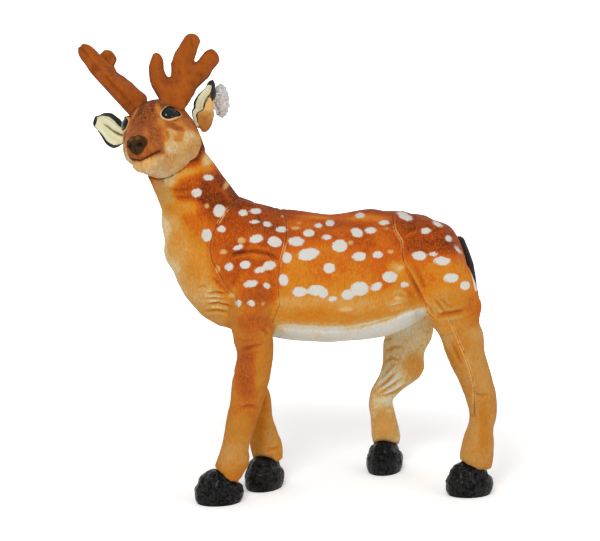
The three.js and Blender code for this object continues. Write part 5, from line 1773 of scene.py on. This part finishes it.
# %% Ears
def ear(side):
    """One finished ear. It tells its length in mm and its number of vertices."""
    parts = [f"ear_{side}", f"ear_lining_{side}"]
    mesh = one_skin(f"ear_skin_{side}", parts, grow=0.35 * MM, cell=EAR_CELL, rounds=5)
    root, ways = ear_frame(side)
    inner, _, up = ways
    pouch = np.array([1, -1 if side == "right" else 1, 1]) * POUCH_PLACE
    mesh = with_pouch(mesh, root + pouch @ ways, ways)
    normals = normals_of(mesh)
    local = (places(mesh) - root) @ ways.T
    carve = paint_ear(mesh, side, local, normals, inner)
    set_places(mesh, ear_shape(side, root, ways, local) + normals * carve[:, None])
    skin = piece(f"ear_skin_{side}", mesh, ear_cloth.material, None, "velvet", *parts)
    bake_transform(skin)
    return round(local[:, 2].max() / MM, 1), len(normals)


print("ears: length in mm and vertices", [ear(side) for side in SIDES])

# %% [markdown]
# ## Tail
# The tail is a flat stuffed leaf, black above and rust brown beneath, sewn on at its root.

# %% Tail
TAIL_PARTS, TAIL_TONE = ("tail", "tail_underside"), 0.72
tail_mesh = one_skin("tail_skin", TAIL_PARTS, grow=0.7 * MM, cell=2.0 * MM, rounds=6)
tail_tree, tail_owner = tree_of(*TAIL_PARTS)
tail_places = places(tail_mesh)
below = np.array([tail_owner[tail_tree.find_nearest(Vector(p))[2]] for p in tail_places], float)
below = neighbour_mean(below[:, None], edges_of(tail_mesh))[:, 0]
for name, value in (("lining", 0 * below), ("crease", 0 * below), ("tone", 0 * below + TAIL_TONE),
                    ("black", 1 - below)):
    paint(tail_mesh, name, value)
tail = piece("tail_skin", tail_mesh, ear_cloth.material, None, "velvet", *TAIL_PARTS)
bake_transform(tail)
print("tail:", len(tail_places), "vertices")

# %% [markdown]
# ## Hooves
# Black leatherette is drawn over each foot and gathered at the ankle, so it wrinkles. It is glossy on its
# ridges, which also carry a painted highlight in their colour, and dull between them.

# %% Leatherette
def leatherette(name):
    """Black leatherette with glossy ridges, lighter in colour as a painted highlight."""
    finish = Finish(name, specular=0.07)
    wrinkle = finish.noise(0.011, detail=5, roughness=0.62, distortion=1.4)
    ridge = (1 - (wrinkle - 0.5).math("ABSOLUTE") * 5.0).math("MAXIMUM", 0.0)
    grain = finish.noise(0.0014, detail=3, roughness=0.6)
    shine = ridge.step(0.55, 1.0) * wrinkle.step(0.3, 0.7)
    # A painted highlight lightens the ridges' colour; their coat weight is real gloss.
    finish.colour(finish.mix(shine, "#030303", "#272726"))
    finish.feed(finish.shader.inputs["Coat Weight"], shine * 0.6)
    finish.feed(finish.shader.inputs["Roughness"], (grain - 0.5) * 0.25 + 0.3)
    finish.relief(ridge * 0.8 + grain * 0.12, depth=3.0 * MM, strength=0.8)
    return finish.material


hoof_leather = leatherette("hoof_leatherette")
print("leatherette:", len(hoof_leather.node_tree.nodes), "nodes")

# %% [markdown]
# Three kinds of relief make a hoof: upright gathers near its top edge, rolls round it where the cloth
# sags, and sharp valleys of a crumpled sheet, which the zero lines of a smooth noise give. All fade out
# towards the sole, which is flat over a board.

# %% Hooves
GATHERS, ROLLS, CRUMPLE, CRUMPLE_SIZE = 0.8, 0.7, 1.6 * MM, 11 * MM


def hoof(where):
    """One finished hoof. It tells its number of vertices."""
    name = f"hoof_{where}"
    mesh = one_skin(f"{name}_skin", [name], grow=0.4 * MM, cell=2.2 * MM, rounds=5)
    points, normals = places(mesh), normals_of(mesh)
    low, high = points[:, 2].min(), points[:, 2].max()
    height = (points[:, 2] - low) / (high - low)
    middle = points.mean(axis=0)
    around = np.arctan2(points[:, 1] - middle[1], points[:, 0] - middle[0])
    gathers = np.sin(around * 13 + 2.5 * np.sin(around * 3) + 6 * height)
    rolls = np.sin(height * 16 + 1.4 * np.sin(around * 4 + 1) + 0.8 * np.sin(around * 7))
    fade = rise(height, 0.12, 0.5)
    move = fade * (GATHERS * gathers * rise(height, 0.45, 0.9) + ROLLS * rolls) * MM
    crumple = np.array([abs(noise.noise(Vector(p) / CRUMPLE_SIZE)) for p in points])
    move = move - CRUMPLE * (1 - rise(crumple, 0.0, 0.16)) * rise(height, 0.06, 0.2)
    set_places(mesh, points + normals * move[:, None])
    mesh = modified(mesh, "SUBSURF", levels=1)
    skin = piece(f"{name}_skin", mesh, hoof_leather, "deer", "hoof", name)
    return len(mesh.vertices)


FEET = [f"{end}_{side}" for end in ("fore", "hind") for side in SIDES]
print("hooves:", [hoof(where) for where in FEET], "vertices")

# %% [markdown]
# ## The tag
# A small oval tag of crinkled silvery film hangs from the left ear on a plastic pin. It is blank. Its
# place and size are measured on the construction model's tag, and it has two faces of rings with a thin
# rim between them, scalloped at the edge.

# %% The tag's mesh
TAG_RINGS, TAG_SIDES, TAG_THICK, SCALLOPS = 14, 72, 0.5 * MM, 16
TAG_SHIFT = PIXEL * (1.0 * RIGHT + 3.4 * UP)
tag_points = places(nodes["hang_tag"].data)
tag_middle = middle_of("hang_tag") + TAG_SHIFT
_, tag_turns = np.linalg.eigh(np.cov((tag_points - tag_middle).T))
tag_square, tag_side, tag_long = tag_turns.T
tag_radius = np.abs((tag_points - tag_middle) @ np.stack([tag_side, tag_long], 1)).max(axis=0)


def crinkled(x, y):
    """How far the film stands out of its plane."""
    return (0.7 * MM * math.sin(x / (2.6 * MM) + 2 * math.sin(y / (4 * MM)))
            + 0.5 * MM * math.sin(y / (1.9 * MM) + 1.7 * math.sin(x / (3.1 * MM))))


def tag_ring(bm, face, share):
    """One ring of vertices on a face of the tag."""
    ring = []
    for step in range(TAG_SIDES):
        turn = 2 * math.pi * step / TAG_SIDES
        scallop = 1 - 0.03 * (1 + math.cos(turn * SCALLOPS)) * (share > 0.9)
        x, y = tag_radius * scallop * share * (math.cos(turn), math.sin(turn))
        out = crinkled(x, y) * share + face * TAG_THICK / 2
        ring.append(bm.verts.new(tag_middle + tag_side * x + tag_long * y + tag_square * out))
    return ring


tag_mesh, rims = bpy.data.meshes.new("tag_film"), []
with editing(tag_mesh) as bm:
    for face in (1, -1):
        rings = [[bm.verts.new(tag_middle + face * tag_square * TAG_THICK / 2)]]
        rings += [tag_ring(bm, face, ring / TAG_RINGS) for ring in range(1, TAG_RINGS + 1)]
        between_rings(bm, rings, TAG_SIDES)
        rims.append(rings[-1])
    between_rings(bm, rims, TAG_SIDES)
    bmesh.ops.recalc_face_normals(bm, faces=bm.faces)
print("tag", [round(2 * r / MM, 1) for r in tag_radius], "mm")

# %% [markdown]
# The film is bright where a crinkle faces the light and grey where it turns away, which a ramp over a
# fine noise gives.

# %% The tag's film
film = Finish("tag_film", roughness=0.28, metallic=0.25, specular=0.6)
film_crinkle = film.noise(0.004, detail=4, roughness=0.7, distortion=1.5)
film.colour(film.ramp(film_crinkle, [(0.34, "#6f7374"), (0.44, "#c4c8c8"), (0.58, "#eef1f1")]))
film.relief(film_crinkle, depth=1.2 * MM, strength=0.7)
piece("tag_film", tag_mesh, film.material, "tag", "card", "hang_tag")
print("tag:", len(tag_mesh.polygons), "faces")

# %% [markdown]
# ## What stays from the construction model
# The wires, washers, foot boards, soles and the tag's pin keep their own shapes, and get finishes. Most
# are hidden, but whoever opens the toy or looks at its soles will see them.

# %% Finishes of the inner pieces
steel = Finish("drawn_steel", metallic=1.0, specular=0.5)
steel_lines = steel.noise(0.0012, detail=2, stretch=(1, 1, 0.2))
steel.colour(steel.mix(steel_lines, "#8b8e92", "#c3c6c9"))
steel.feed(steel.shader.inputs["Roughness"], steel_lines * 0.2 + 0.28)
plastic = Finish("white_plastic", specular=0.4)
plastic_cloud = plastic.noise(0.003, detail=2)
plastic.colour(plastic.mix(plastic_cloud, "#d8d6cf", "#f1f0ec"))
plastic.feed(plastic.shader.inputs["Roughness"], plastic_cloud * 0.1 + 0.3)
board = Finish("fibre_board", roughness=0.85, specular=0.2)
fibres = board.noise(0.0025, detail=5, roughness=0.7, stretch=(1, 2.5, 1))
board.colour(board.mix(fibres.step(0.3, 0.7), "#6f5336", "#a98659"))
board.relief(fibres, depth=0.3 * MM, strength=0.4)
KEPT = {"_wire": steel, "eye_washer": plastic, "tag_fastener": plastic, "foot_board": board}
finished = 0
for name, obj in nodes.items():
    finish = next((f.material for part, f in KEPT.items() if part in name), None)
    finish = hoof_leather if name.startswith("sole_") else finish
    if finish:
        obj.data.materials.clear()
        obj.data.materials.append(finish)
        finished += 1
print("finished", finished, "kept pieces")
